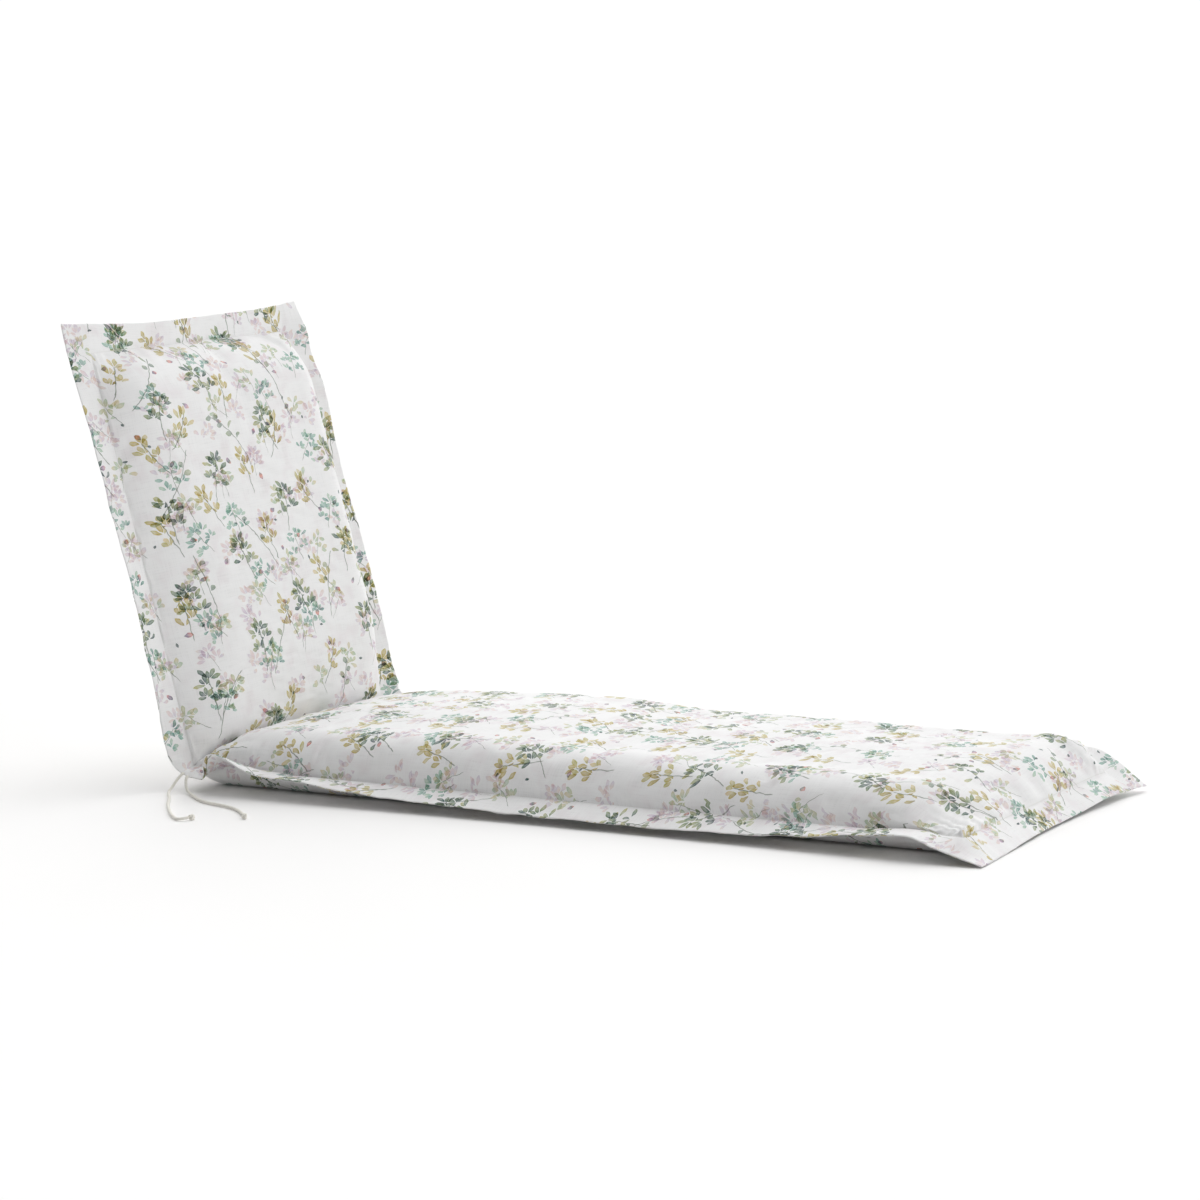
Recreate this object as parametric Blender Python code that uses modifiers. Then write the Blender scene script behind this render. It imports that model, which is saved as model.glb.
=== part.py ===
"""Sun lounger cushion, set up in its L shape, with the tie cord at its fold.

Metres, +Z up. The seat lies along +X on the ground, and the back stands over -X and leans away.
The origin is on the ground, in the middle of the footprint. -Y is the side that has the tie.
One cover holds both pads: the face cloth and the under cloth are sewn together all round, so
that a flat flange stands outside the stitch line, and they are sewn to each other at the fold.
"""

import math

import bmesh
import bpy
from mathutils import Vector

# Driving dimensions
WIDTH = 0.600  # across the cover, flange included
FLANGE = 0.045  # flat border outside the stitch line
BACK = 0.675  # from the fold to the head edge
SEAT = 1.285  # from the fold to the foot edge
LEAN = math.radians(15.2)  # of the back, from upright
FOLD_X = -0.5510  # puts the origin in the middle of the footprint
FOLD_HEIGHT = 0.030  # of the fold's seam over the ground
SEAM_HEIGHT = 0.027  # of the seat's stitch line over the ground
CLOTH = 0.0030  # both cloths of the flange with their turned hem
FACE_CROWN = 0.007  # how much more a pad's face stands up in its middle
FACE_ROUND = 0.062  # how far in from the stitch line a face reaches its depth
FOLD_ROUND = 0.100  # the same at the fold
FOLD_REACH = 0.160  # how far from the fold the pads take on their full form
END_ROUND = 0.078  # the same as the face's, at the head and at the foot
REAR_DEPTH = 0.030  # of the back's pad behind its stitch line
REAR_ROUND = 0.040  # how far in the underside reaches its depth, at the sides and at the fold
REAR_END_ROUND = 0.055  # the same at the head and at the foot
CREASE_GAP = 0.0016  # between each pad's end and the plane where they meet
CREASE_EASE = 0.030  # how softly a pad's end turns into its face
CREASE_DEPTH = 0.040  # least depth of a face for all of that softness
TURN_RATE = 2.5  # the flange has its own direction from the stitch line out to 1 / this of its width
HUMP_SHARE = 0.45  # how much of the flange's hump the stitch line beside it takes part in
HUMP_FOOT = 0.024  # height at which the hump starts
HUMP_REACH = (0.030, 0.150, 0.200)  # full from the first distance to the second, none at the third
HUMP_INSIDE = 0.030  # how far inside the stitch line the lift fades out
CORD = 0.0045  # diameter of the tie
KNOT = (0.0110, 0.0085, 0.0080)  # length, width and height of a knot
GAP = 0.0003  # between a tie and its knot, and under a knot

HALF_WIDTH = WIDTH / 2
STITCH = HALF_WIDTH - FLANGE
BACK_UP = Vector((-math.sin(LEAN), 0, math.cos(LEAN)))
BACK_FACE = Vector((math.cos(LEAN), 0, math.sin(LEAN)))
SEAT_UP = Vector((0, 0, 1))
FOLD = Vector((FOLD_X, 0, FOLD_HEIGHT))
CREASE_SLOPE = math.tan((math.pi / 2 + LEAN) / 2)  # of the plane where the pads meet

# Distance of each row of points from the fold, along the cloth
BACK_ROWS = (
    BACK, BACK - 0.012, BACK - 0.028, BACK - FLANGE, 0.625, 0.616, 0.602, 0.583, 0.555, 0.500,
    0.420, 0.340, 0.260, 0.190, 0.140, 0.105, 0.080, 0.062, 0.048, 0.036, 0.027, 0.019, 0.012, 0.006,
)
SEAT_ROWS = (
    0.006, 0.012, 0.019, 0.026, 0.033, 0.040, 0.047, 0.054, 0.062, 0.071, 0.081, 0.093, 0.107,
    0.125, 0.150, 0.185, 0.235, 0.310, 0.410, 0.520, 0.640, 0.760, 0.870, 0.970, 1.050, 1.110,
    1.150, 1.180, 1.202, 1.219, 1.231, SEAT - FLANGE, SEAT - 0.028, SEAT - 0.012, SEAT,
)
# Distance of each column of points in from the stitch line, and of those on the flange out from it
PAD_COLUMNS = (0.0, 0.004, 0.011, 0.021, 0.034, 0.050, 0.075, 0.120, 0.185)
FLANGE_COLUMNS = (FLANGE, 0.032, 0.016)

# Depth of the pads' faces over the stitch plane, by the distance from the fold along the cloth
# (less than 0 on the back)
DEPTH_COLUMNS = ("along", "depth")
PAD_DEPTH = (
    (-BACK, 0.0450), (-0.300, 0.0460), (-0.100, 0.0440), (-0.030, 0.0390), (0.000, 0.0380),
    (0.030, 0.0400), (0.100, 0.0500), (0.190, 0.0565), (0.370, 0.0655), (0.470, 0.0690),
    (0.610, 0.0645), (0.740, 0.0605), (0.875, 0.0585), (1.000, 0.0550), (1.100, 0.0530),
    (SEAT, 0.0520),
)
# The flange's outer edge on its way round the fold and along the seat. At the fold it is crumpled
# into a hump on both sides. "along" is the distance from the fold along the cloth, less than 0 on
# the back; "out" is how far the edge keeps from the middle of the cover.
EDGE_COLUMNS = ("along", "near_forward", "near_height", "far_forward", "far_height", "out")
EDGE_AT_FOLD = (
    (-0.075, -0.0245, 0.1011, -0.0120, 0.1045, 0.2995),
    (-0.060, -0.0220, 0.0880, -0.0060, 0.0915, 0.2995),
    (-0.040, -0.0190, 0.0690, 0.0020, 0.0775, 0.2990),
    (-0.020, -0.0140, 0.0465, 0.0090, 0.0700, 0.2970),
    (-0.006, -0.0040, 0.0310, 0.0155, 0.0645, 0.2935),
    (0.006, 0.0095, 0.0225, 0.0220, 0.0610, 0.2905),
    (0.019, 0.0245, 0.0198, 0.0305, 0.0580, 0.2920),
    (0.033, 0.0395, 0.0192, 0.0405, 0.0562, 0.2940),
    (0.047, 0.0500, 0.0255, 0.0520, 0.0555, 0.2955),
    (0.062, 0.0565, 0.0430, 0.0650, 0.0545, 0.2970),
    (0.071, 0.0630, 0.0510, 0.0730, 0.0530, 0.2975),
    (0.081, 0.0740, 0.0542, 0.0825, 0.0510, 0.2980),
    (0.093, 0.0880, 0.0520, 0.0935, 0.0475, 0.2985),
    (0.107, 0.1030, 0.0458, 0.1070, 0.0425, 0.2990),
    (0.125, 0.1220, 0.0380, 0.1250, 0.0365, 0.2995),
    (0.150, 0.1480, 0.0310, 0.1500, 0.0300, 0.3000),
    (0.235, 0.2340, 0.0240, 0.2350, 0.0220, 0.3000),
    (0.410, 0.4095, 0.0180, 0.4100, 0.0180, 0.2990),
    (0.640, 0.6395, 0.0145, 0.6400, 0.0160, 0.2985),
    (0.870, 0.8695, 0.0145, 0.8700, 0.0170, 0.2985),
    (1.050, 1.0495, 0.0205, 1.0500, 0.0225, 0.2990),
    (1.110, 1.1095, 0.0255, 1.1100, 0.0290, 0.2995),
    (1.150, 1.1490, 0.0300, 1.1490, 0.0440, 0.2990),
    (1.180, 1.1780, 0.0325, 1.1780, 0.0575, 0.2985),
    (1.202, 1.2000, 0.0275, 1.2000, 0.0585, 0.2985),
    (1.219, 1.2175, 0.0205, 1.2175, 0.0530, 0.2990),
    (1.240, 1.2390, 0.0155, 1.2390, 0.0395, 0.2995),
    (SEAT, 1.2850, 0.0048, 1.2850, 0.0068, 0.3000),
)
# How far the flange's outer edge stands forward of the back's stitch plane
BACK_EDGE_COLUMNS = ("along", "near", "far")
BACK_EDGE = (
    (0.075, -0.0050, 0.0080),
    (0.140, -0.0010, 0.0120),
    (0.300, -0.0020, 0.0150),
    (0.450, 0.0010, 0.0155),
    (0.580, 0.0025, 0.0120),
    (BACK, -0.0020, 0.0030),
)
# The head and foot edges across the cover, from the near corner to the far one
END_COLUMNS = ("across", "head_short", "head_forward", "foot_short", "foot_height")
END_EDGES = (
    (-HALF_WIDTH, 0.0000, -0.0020, 0.0000, 0.0042),
    (-0.200, 0.0085, 0.0025, 0.0060, 0.0072),
    (-0.060, 0.0100, 0.0060, 0.0095, 0.0092),
    (0.080, 0.0070, 0.0020, 0.0090, 0.0115),
    (0.200, 0.0045, 0.0045, 0.0060, 0.0150),
    (HALF_WIDTH, 0.0000, 0.0030, 0.0000, 0.0065),
)
# The two free ends of the tie, from the fold's corner to their knots: forward, across, height
TIE_ENDS = {
    "left": (
        (0.0080, -0.2928, 0.0265), (0.0070, -0.2985, 0.0240), (0.0035, -0.3050, 0.0170),
        (0.0010, -0.3120, 0.0090), (0.0030, -0.3230, 0.0045), (0.0120, -0.3375, 0.0028),
        (0.0290, -0.3595, 0.0028), (0.0590, -0.4046, 0.0028), (0.0960, -0.4506, 0.0028),
        (0.1190, -0.4745, 0.0028), (0.1310, -0.4830, 0.0029), (0.1400, -0.4815, 0.0036),
        (0.1440, -0.4750, 0.0044),
    ),
    "right": (
        (0.0150, -0.2930, 0.0225), (0.0170, -0.2990, 0.0195), (0.0205, -0.3050, 0.0125),
        (0.0270, -0.3110, 0.0060), (0.0370, -0.3185, 0.0032), (0.0540, -0.3330, 0.0028),
        (0.0810, -0.3545, 0.0028), (0.1060, -0.3660, 0.0028), (0.1300, -0.3725, 0.0028),
        (0.1530, -0.3810, 0.0028), (0.1730, -0.3935, 0.0028), (0.1920, -0.4110, 0.0030),
        (0.2070, -0.4275, 0.0044),
    ),
}
TIE_STEP = 2.2  # diameters between the points of a tie's tube


def looked_up(rows, columns, name, at):
    """Column name of the table at this value of its first column, on a smooth curve."""
    x = [row[0] for row in rows]
    y = [row[columns.index(name)] for row in rows]
    at = min(max(at, x[0]), x[-1])
    i = max(k for k in range(len(x) - 1) if x[k] <= at)

    def slope(k):
        low, high = max(k - 1, 0), min(k + 1, len(x) - 1)
        return (y[high] - y[low]) / (x[high] - x[low])

    step = x[i + 1] - x[i]
    u = (at - x[i]) / step
    return (
        y[i] * (2 * u**3 - 3 * u**2 + 1)
        + y[i + 1] * (3 * u**2 - 2 * u**3)
        + slope(i) * step * (u**3 - 2 * u**2 + u)
        + slope(i + 1) * step * (u**3 - u**2)
    )


def rounded(distance, radius):
    """A quarter circle that rises from 0 to 1 over the radius."""
    q = min(max(distance / radius, 0.0), 1.0)
    return math.sqrt(1 - (1 - q) ** 2)


def soft_least(a, b, ease):
    """The lesser of two heights, with the corner between them eased."""
    h = max(ease - abs(a - b), 0.0) / max(ease, 1e-6)
    return min(a, b) - h * h * ease / 4


def smooth_step(u):
    u = min(max(u, 0.0), 1.0)
    return u * u * (3 - 2 * u)


def row_distances():
    """Distance of every row along the cloth: less than 0 on the back, more on the seat."""
    return [-s for s in BACK_ROWS] + [0.0] + list(SEAT_ROWS)


def column_distances():
    """Place of every column across the cover, from the near edge to the far one."""
    near = [-(STITCH + c) for c in FLANGE_COLUMNS] + [-(STITCH - c) for c in PAD_COLUMNS]
    return near + [0.0] + [-c for c in reversed(near)]


def face_depth(along, length, inside):
    """Depth of a pad's face over its stitch plane, this far inside the stitch line."""
    from_end = length - FLANGE - abs(along)
    away = smooth_step(abs(along) / FOLD_REACH)
    depth = looked_up(PAD_DEPTH, DEPTH_COLUMNS, "depth", along)
    depth += FACE_CROWN * smooth_step(inside / STITCH) * away
    depth *= rounded(inside, FOLD_ROUND + (FACE_ROUND - FOLD_ROUND) * away) * rounded(from_end, END_ROUND)
    squeezed = CREASE_SLOPE * abs(along) - CREASE_GAP
    return max(soft_least(depth, squeezed, CREASE_EASE * min(1.0, depth / CREASE_DEPTH)), 0.0)


def rear_share(along, length, inside):
    """How much of its full depth a pad has behind its stitch plane, from 0 to 1."""
    from_end = length - FLANGE - along
    return rounded(inside, REAR_ROUND) * rounded(from_end, REAR_END_ROUND) * rounded(along, REAR_ROUND)


def stitch_height(along, across):
    """Height of the seat's stitch plane: level, but lifted beside the flange's hump at the fold."""
    side = "near_height" if across < 0 else "far_height"
    rise, fall, end = HUMP_REACH
    hump = looked_up(EDGE_AT_FOLD, EDGE_COLUMNS, side, along) - HUMP_FOOT
    lift = HUMP_SHARE * max(hump, 0.0) * smooth_step(along / rise) * smooth_step((end - along) / (end - fall))
    lift *= smooth_step(1 - (STITCH - abs(across)) / HUMP_INSIDE)
    return FOLD_HEIGHT + (SEAM_HEIGHT - FOLD_HEIGHT) * smooth_step(along / FOLD_ROUND) + lift


def pad_point(along, across):
    """Point of the stitch plane, and which way the face looks, inside the stitch line."""
    if along < 0:
        return FOLD + BACK_UP * -along + Vector((0, across, 0)), BACK_FACE
    if along == 0:
        return FOLD + Vector((0, across, 0)), (BACK_FACE + SEAT_UP).normalized()
    return Vector((FOLD_X + along, across, stitch_height(along, across))), SEAT_UP


def side_edge(along, across):
    """Point on the flange's outer edge, at the near side or the far one."""
    side = "near" if across < 0 else "far"
    sign = -1 if across < 0 else 1
    if along < EDGE_AT_FOLD[0][0]:
        forward = looked_up(BACK_EDGE, BACK_EDGE_COLUMNS, side, -along)
        return FOLD + BACK_UP * -along + BACK_FACE * forward + Vector((0, sign * HALF_WIDTH, 0))
    values = [
        looked_up(EDGE_AT_FOLD, EDGE_COLUMNS, name, along)
        for name in (side + "_forward", "out", side + "_height")
    ]
    return Vector((FOLD_X + values[0], sign * values[1], values[2]))


def end_edge(along, across):
    """Point on the head edge or the foot edge."""
    place = min(max(across, -HALF_WIDTH), HALF_WIDTH)
    if along < 0:
        short = looked_up(END_EDGES, END_COLUMNS, "head_short", place)
        forward = looked_up(END_EDGES, END_COLUMNS, "head_forward", place)
        return FOLD + BACK_UP * (BACK - short) + BACK_FACE * forward + Vector((0, place, 0))
    short = looked_up(END_EDGES, END_COLUMNS, "foot_short", place)
    return Vector((FOLD_X + SEAT - short, place, looked_up(END_EDGES, END_COLUMNS, "foot_height", place)))


def middle_point(along, across):
    """Point between the face cloth and the under cloth, anywhere on the cover."""
    length = BACK if along < 0 else SEAT
    out_side = max(abs(across) - STITCH, 0.0) / FLANGE
    out_end = max(abs(along) - (length - FLANGE), 0.0) / FLANGE
    inner_across = min(max(across, -STITCH), STITCH)
    inner_along = min(max(along, -(BACK - FLANGE)), SEAT - FLANGE)
    inner = pad_point(inner_along, inner_across)[0]
    if not out_side and not out_end:
        return inner
    edge_along = inner_along if out_end else along
    to_side = side_edge(edge_along, across) - pad_point(inner_along, math.copysign(STITCH, across))[0]
    to_end = end_edge(along, inner_across) - pad_point(inner_along, inner_across)[0]
    if out_side and out_end:
        corner = end_edge(along, math.copysign(HALF_WIDTH, across))
        missed = corner - (inner + to_side + to_end)
        return inner + to_side * out_side + to_end * out_end + missed * out_side * out_end
    return inner + (to_side * out_side if out_side else to_end * out_end)


def face_direction(along, across):
    """Which way the face looks on the flange: square to the sheet, a cloth's thickness about the point."""
    low, high = max(along - CLOTH, -BACK), min(along + CLOTH, SEAT)
    left, right = max(across - CLOTH, -HALF_WIDTH), min(across + CLOTH, HALF_WIDTH)
    down_cover = middle_point(high, across) - middle_point(low, across)
    over_cover = middle_point(along, right) - middle_point(along, left)
    return down_cover.cross(over_cover).normalized()


def cover_point(along, across, is_face):
    """Point of the face cloth or of the under cloth."""
    length = BACK if along < 0 else SEAT
    inside = STITCH - abs(across)
    from_end = length - FLANGE - abs(along)
    half = CLOTH / 2
    point, direction = pad_point(along, across)
    if inside < 0 or from_end < 0:
        turned = smooth_step(max(-inside, -from_end) / FLANGE * TURN_RATE)
        direction = direction * (1 - turned) + face_direction(along, across) * turned
        return middle_point(along, across) + direction.normalized() * (half if is_face else -half)
    if is_face:
        return point + direction * (half + face_depth(along, length, inside))
    share = rear_share(abs(along), length, inside)
    if along <= 0:
        return point - direction * (half + REAR_DEPTH * share)
    return Vector((point.x, point.y, (point.z - half) * (1 - share)))


def cover():
    """The cover and its two pads: a flat grid, made a closed sheet and then put in its real shape."""
    rows, columns = row_distances(), column_distances()
    bpy.ops.mesh.primitive_grid_add(
        x_subdivisions=len(rows) - 1, y_subdivisions=len(columns) - 1, size=2
    )
    obj = bpy.context.object
    obj.name = "cushion"
    sheet = obj.modifiers.new("two cloths", "SOLIDIFY")
    sheet.thickness = 0.2
    sheet.offset = 0
    bpy.ops.object.modifier_apply(modifier=sheet.name)
    for vertex in obj.data.vertices:
        row = round((vertex.co.x + 1) / 2 * (len(rows) - 1))
        column = round((vertex.co.y + 1) / 2 * (len(columns) - 1))
        vertex.co = cover_point(rows[row], columns[column], vertex.co.z > 0)
    obj.data.shade_smooth()
    obj.data.set_sharp_from_angle(angle=math.radians(50))
    return obj


def smooth_route(points, step):
    """Points at about this step on a smooth curve through the given ones."""
    route = []
    for i in range(len(points) - 1):
        before, start, end, after = (
            points[max(i - 1, 0)], points[i], points[i + 1], points[min(i + 2, len(points) - 1)],
        )
        pieces = max(1, round((end - start).length / step))
        for k in range(pieces):
            u = k / pieces
            bend = (end - before) * (u**3 - 2 * u**2 + u) + (after - start) * (u**3 - u**2)
            route.append(start * (2 * u**3 - 3 * u**2 + 1) + end * (3 * u**2 - 2 * u**3) + bend / 2)
    return route + [points[-1]]


def tie_strand(name, points):
    """One free end of the tie, as a round tube."""
    route = smooth_route(points, CORD * TIE_STEP)
    data = bpy.data.curves.new(name, "CURVE")
    data.dimensions = "3D"
    data.bevel_depth = CORD / 2
    data.bevel_resolution = 2
    data.use_fill_caps = True
    spline = data.splines.new("POLY")
    spline.points.add(len(route) - 1)
    for place, point in zip(spline.points, route):
        place.co = (*point, 1)
    obj = bpy.data.objects.new(name, data)
    bpy.context.scene.collection.objects.link(obj)
    return obj


def tie_knot(name, end, before):
    """The knot at a strand's end: a small pebble in line with the strand."""
    along = Vector((end.x - before.x, end.y - before.y, 0)).normalized()
    data = bpy.data.meshes.new(name)
    shape = bmesh.new()
    bmesh.ops.create_uvsphere(shape, u_segments=12, v_segments=8, radius=0.5)
    bmesh.ops.scale(shape, verts=shape.verts, vec=KNOT)
    shape.to_mesh(data)
    shape.free()
    data.shade_smooth()
    obj = bpy.data.objects.new(name, data)
    bpy.context.scene.collection.objects.link(obj)
    obj.location = end + along * (KNOT[0] / 2 + GAP)
    obj.location.z = KNOT[2] / 2 + GAP
    obj.rotation_euler = (0, 0, math.atan2(along.y, along.x))
    return obj


def material(name, colour, roughness):
    made = bpy.data.materials.new(name)
    made.use_nodes = True
    surface = made.node_tree.nodes["Principled BSDF"]
    surface.inputs["Base Color"].default_value = (*colour, 1)
    surface.inputs["Roughness"].default_value = roughness
    surface.inputs["Metallic"].default_value = 0
    return made


def clear_scene():
    for obj in list(bpy.data.objects):
        bpy.data.objects.remove(obj)


def gather(objects):
    """Puts the objects in a collection named for the part."""
    group = bpy.data.collections.new("sun_lounger_cushion")
    bpy.context.scene.collection.children.link(group)
    for obj in objects:
        for other in list(obj.users_collection):
            other.objects.unlink(obj)
        group.objects.link(obj)


def main():
    clear_scene()
    cushion = cover()
    cushion.data.materials.append(material("printed cotton", (0.84, 0.84, 0.83), 0.85))
    cord_cotton = material("cord cotton", (0.78, 0.76, 0.70), 0.9)
    pieces = [cushion]
    for side, places in TIE_ENDS.items():
        points = [Vector(place) + Vector((FOLD_X, 0, 0)) for place in places]
        strand = tie_strand("tie_" + side, points)
        knot = tie_knot("knot_" + side, points[-1], points[-2])
        for piece in (strand, knot):
            piece.data.materials.append(cord_cotton)
        pieces += [strand, knot]
    gather(pieces)


main()
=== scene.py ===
"""Sun lounger cushion: its printed cover over two filled pads, its seam and the tie at its fold.

Metres, +Z up. The seat lies along +X on the ground and the back stands over -X and leans away.
-Y is the side that has the tie. "Along" is a distance along the cloth from the fold, less than 0
on the back and more on the seat. "Across" is a distance from the middle of the cover.
"""

import math
from collections import namedtuple

import bpy
import numpy as np
from mathutils import Matrix, Vector


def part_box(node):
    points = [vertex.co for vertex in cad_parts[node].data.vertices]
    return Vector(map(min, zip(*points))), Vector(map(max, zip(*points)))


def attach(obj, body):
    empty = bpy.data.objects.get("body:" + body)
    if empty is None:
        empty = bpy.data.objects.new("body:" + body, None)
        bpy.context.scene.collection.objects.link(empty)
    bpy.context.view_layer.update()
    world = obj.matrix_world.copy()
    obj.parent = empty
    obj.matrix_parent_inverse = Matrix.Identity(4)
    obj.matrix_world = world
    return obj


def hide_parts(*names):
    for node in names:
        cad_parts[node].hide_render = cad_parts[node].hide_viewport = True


bl_info = {
    "name": "Sun lounger cushion",
    "version": (1, 0, 0),
    "blender": (4, 5, 0),
    "location": "View3D > Sidebar > Lounger",
    "description": "Makes a printed sun lounger cushion with its seam and its tie, on a plain floor",
    "category": "Object",
}

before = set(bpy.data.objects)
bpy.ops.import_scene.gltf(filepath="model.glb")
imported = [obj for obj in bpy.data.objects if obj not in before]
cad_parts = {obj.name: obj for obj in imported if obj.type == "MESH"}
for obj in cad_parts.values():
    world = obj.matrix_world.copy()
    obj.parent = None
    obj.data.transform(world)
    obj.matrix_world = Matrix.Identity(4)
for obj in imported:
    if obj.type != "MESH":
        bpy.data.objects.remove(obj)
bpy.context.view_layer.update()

# Driving dimensions of the cover
HALF_WIDTH = 0.300
FLANGE = 0.045  # flat border outside the stitch line
BACK = 0.675  # from the fold to the head edge
SEAT = 1.285  # from the fold to the foot edge
LEAN = math.radians(15.2)  # of the back, from upright
FOLD_X = -0.5510
FOLD_HEIGHT = 0.030  # of the fold's seam over the ground
SEAM_HEIGHT = 0.0295  # of the seat's stitch line over the ground
STITCH = HALF_WIDTH - FLANGE

# The pads' form
FACE_CROWN = 0.007  # how much more a pad's face stands up in its middle
FAR_BULGE = 0.009  # how much more the back's pad stands up towards its far side
FOLD_ROUND = 0.100  # how far in from the stitch line a face reaches its depth at the fold
FOLD_REACH = 0.160  # how far from the fold the pads take on their full form
REAR_DEPTH = 0.030  # of the back's pad behind its stitch line
REAR_ROUND = 0.040  # how far in the underside reaches its depth, at the sides and at the fold
REAR_END_ROUND = 0.055  # the same at the head and at the foot
CREASE_GAP = 0.0016  # between each pad's end and the plane where they meet
CREASE_EASE = 0.030  # how softly a pad's end turns into its face
CREASE_DEPTH = 0.040  # least depth of a face for all of that softness
TURN_RATE = 2.5  # the flange has its own direction from the stitch line out to 1 / this of its width
HUMP_SHARE = 0.22  # how much of the flange's hump the stitch line beside it takes part in
HUMP_FOOT = 0.024  # height at which the hump starts
HUMP_REACH = (0.030, 0.150, 0.200)  # full from the first distance to the second, none at the third
HUMP_INSIDE = 0.030  # how far inside the stitch line the lift fades out
FOOT_LIFT_REACH = (1.080, 1.150, 1.205, SEAT - FLANGE)  # the same lift towards the foot's corners
FOOT_LIFT_INSIDE = 0.080  # how far inside the stitch line that one fades out
FOOT_LIFT_SHARE = 0.45
HEM_ROUND = 0.0016  # radius of the hem's edge
HEM_LEAST = 0.15  # share of its thickness that the flange keeps at the very edge
LOWEST = 0.0002  # of the under cloth over the ground

# The simulation that lets the filling swell the cover
SETTLING_COARSE = 2  # it runs on every other row and column of points
SETTLING_FRAMES = 20
SETTLING = {
    "quality": 5,
    "mass": 0.2,
    "air_damping": 2,
    "tension_stiffness": 20,
    "compression_stiffness": 20,
    "shear_stiffness": 8,
    "bending_stiffness": 0.3,
    "use_pressure": True,
    "uniform_pressure_force": 3.0,
    "shrink_min": -0.022,  # by how much the cloth is larger than its form
}
HOLD_STEPS = 20  # in which the hold changes from none to firm
LARGEST_MOVE = 0.0050
HELD_IN_MIDDLE = 0.30  # how firmly the filling holds the middle of a pad
FREE_BESIDE_SEAM = (0.050, 0.110)  # from the stitch line: free up to the first, held from the second on
SEWN_FAST = 0.001  # held beside the stitches
FOLD_SEWN_FAST = 0.008  # held beside the fold's seam

# What the sewing does to the cloth
SEAM_DENT = 0.40  # share of the flange's thickness that the stitches press in
SEAM_DENT_REACH = 0.0035  # how far from the stitches the cloth is pressed in
STITCH_WIDTH = 0.00045  # half the width of a stitch
STITCH_HEIGHT = 0.8  # as a share of that width
STITCH_STANDS = 0.35  # how far its middle stands out of the cloth, as a share of the same
STITCH_SHARE = 0.40  # half a stitch's own length, as a share of their spacing
STITCH_ENDS = 0.00025  # how far its ends dip into the cloth
PUCKER = 0.0007  # how far the gathers beside the stitch line stand out
PUCKER_START = 0.004  # how far from the stitches they are full
PUCKER_REACH = 0.026  # how far from the stitches they fade out
CORNER_SPREAD = 0.8  # how much farther they reach at a pad's corner
CORNER_GATHER = 2.4  # how much stronger they are there
CORNER_REACH = 0.060  # how far from the corner that goes
NEAR_FOOT_GATHER = 2.4  # how much more of both there is at the near corner of the foot
FOLDS_SHARE = 0.6  # large folds beside the gathers
RIPPLES_SHARE = 0.5  # small ripples on the larger waves
PLEAT_NARROW = 0.004  # how narrow the valleys between gathers are
PLEAT_LEVEL = 0.7  # about the gathers' mean, which is taken off
FLANGE_WAVE = 0.0013  # how far the flange's edge waves
CRUMPLE = 0.0022  # how far it is crumpled beside the fold
CRUMPLE_REACH = 0.045  # how far from the fold that fades out
UNEVEN = (0.0009, 0.0005)  # how far large and small lumps of the filling stand out
UNEVEN_START = 0.050  # how far from a seam they are full
UNEVEN_FROM_FOLD = 0.060  # the same from the fold
# Size of the spots of chance along and across the cloth, and the seed of their draws
SPOTS = {
    "side gathers": ((0.0074, 0.160), 3),
    "side folds": ((0.024, 0.090), 4),
    "end gathers": ((0.160, 0.0088), 5),
    "end folds": ((0.090, 0.024), 6),
    "side waves": ((0.034, 0.500), 7),
    "side ripples": ((0.013, 0.500), 8),
    "end waves": ((0.500, 0.036), 9),
    "end ripples": ((0.500, 0.014), 10),
    "large lumps": ((0.150, 0.130), 11),
    "small lumps": ((0.055, 0.060), 12),
    "crumples": ((0.0130, 0.0200), 13),
    "small crumples": ((0.0075, 0.0120), 14),
}

BACK_UP = np.array((-math.sin(LEAN), 0, math.cos(LEAN)))
BACK_FACE = np.array((math.cos(LEAN), 0, math.sin(LEAN)))
SEAT_UP = np.array((0, 0, 1.0))
FOLD = np.array((FOLD_X, 0, FOLD_HEIGHT))
CREASE_SLOPE = math.tan((math.pi / 2 + LEAN) / 2)  # of the plane where the pads meet

# Spacing of the rows of points, from each distance along the cloth to the next
ROW_STEPS = (
    (-BACK, 0.0006), (-BACK + 0.0018, 0.0016), (-BACK + 0.008, 0.0040), (-BACK + 0.036, 0.0018),
    (-BACK + 0.056, 0.0034), (-0.590, 0.0054), (-0.130, 0.0036), (-0.070, 0.0026), (-0.020, 0.0020),
    (0.0, 0.0020), (0.020, 0.0026), (0.130, 0.0040), (0.240, 0.0064), (1.130, 0.0032),
    (1.205, 0.0022), (SEAT - 0.053, 0.0018), (SEAT - 0.036, 0.0036), (SEAT - 0.008, 0.0016),
    (SEAT - 0.0018, 0.0006), (SEAT, 0),
)
# The same for the columns, from the middle of the cover out to its edge
COLUMN_STEPS = (
    (0.0, 0.0110), (0.165, 0.0062), (0.215, 0.0040), (0.243, 0.0022), (STITCH - 0.004, 0.0014),
    (STITCH, 0.0014), (STITCH + 0.007, 0.0044), (HALF_WIDTH - 0.007, 0.0018),
    (HALF_WIDTH - 0.0018, 0.0006), (HALF_WIDTH, 0),
)

# Depth of the pads' faces over the stitch plane. Columns: along; depth
PAD_DEPTH = (
    (-BACK, 0.0450), (-0.300, 0.0460), (-0.100, 0.0440), (-0.030, 0.0390), (0.000, 0.0380),
    (0.030, 0.0400), (0.100, 0.0490), (0.190, 0.0545), (0.370, 0.0625), (0.470, 0.0640),
    (0.610, 0.0575), (0.740, 0.0562), (0.875, 0.0560), (1.000, 0.0545), (1.100, 0.0535),
    (SEAT, 0.0525),
)
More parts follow.
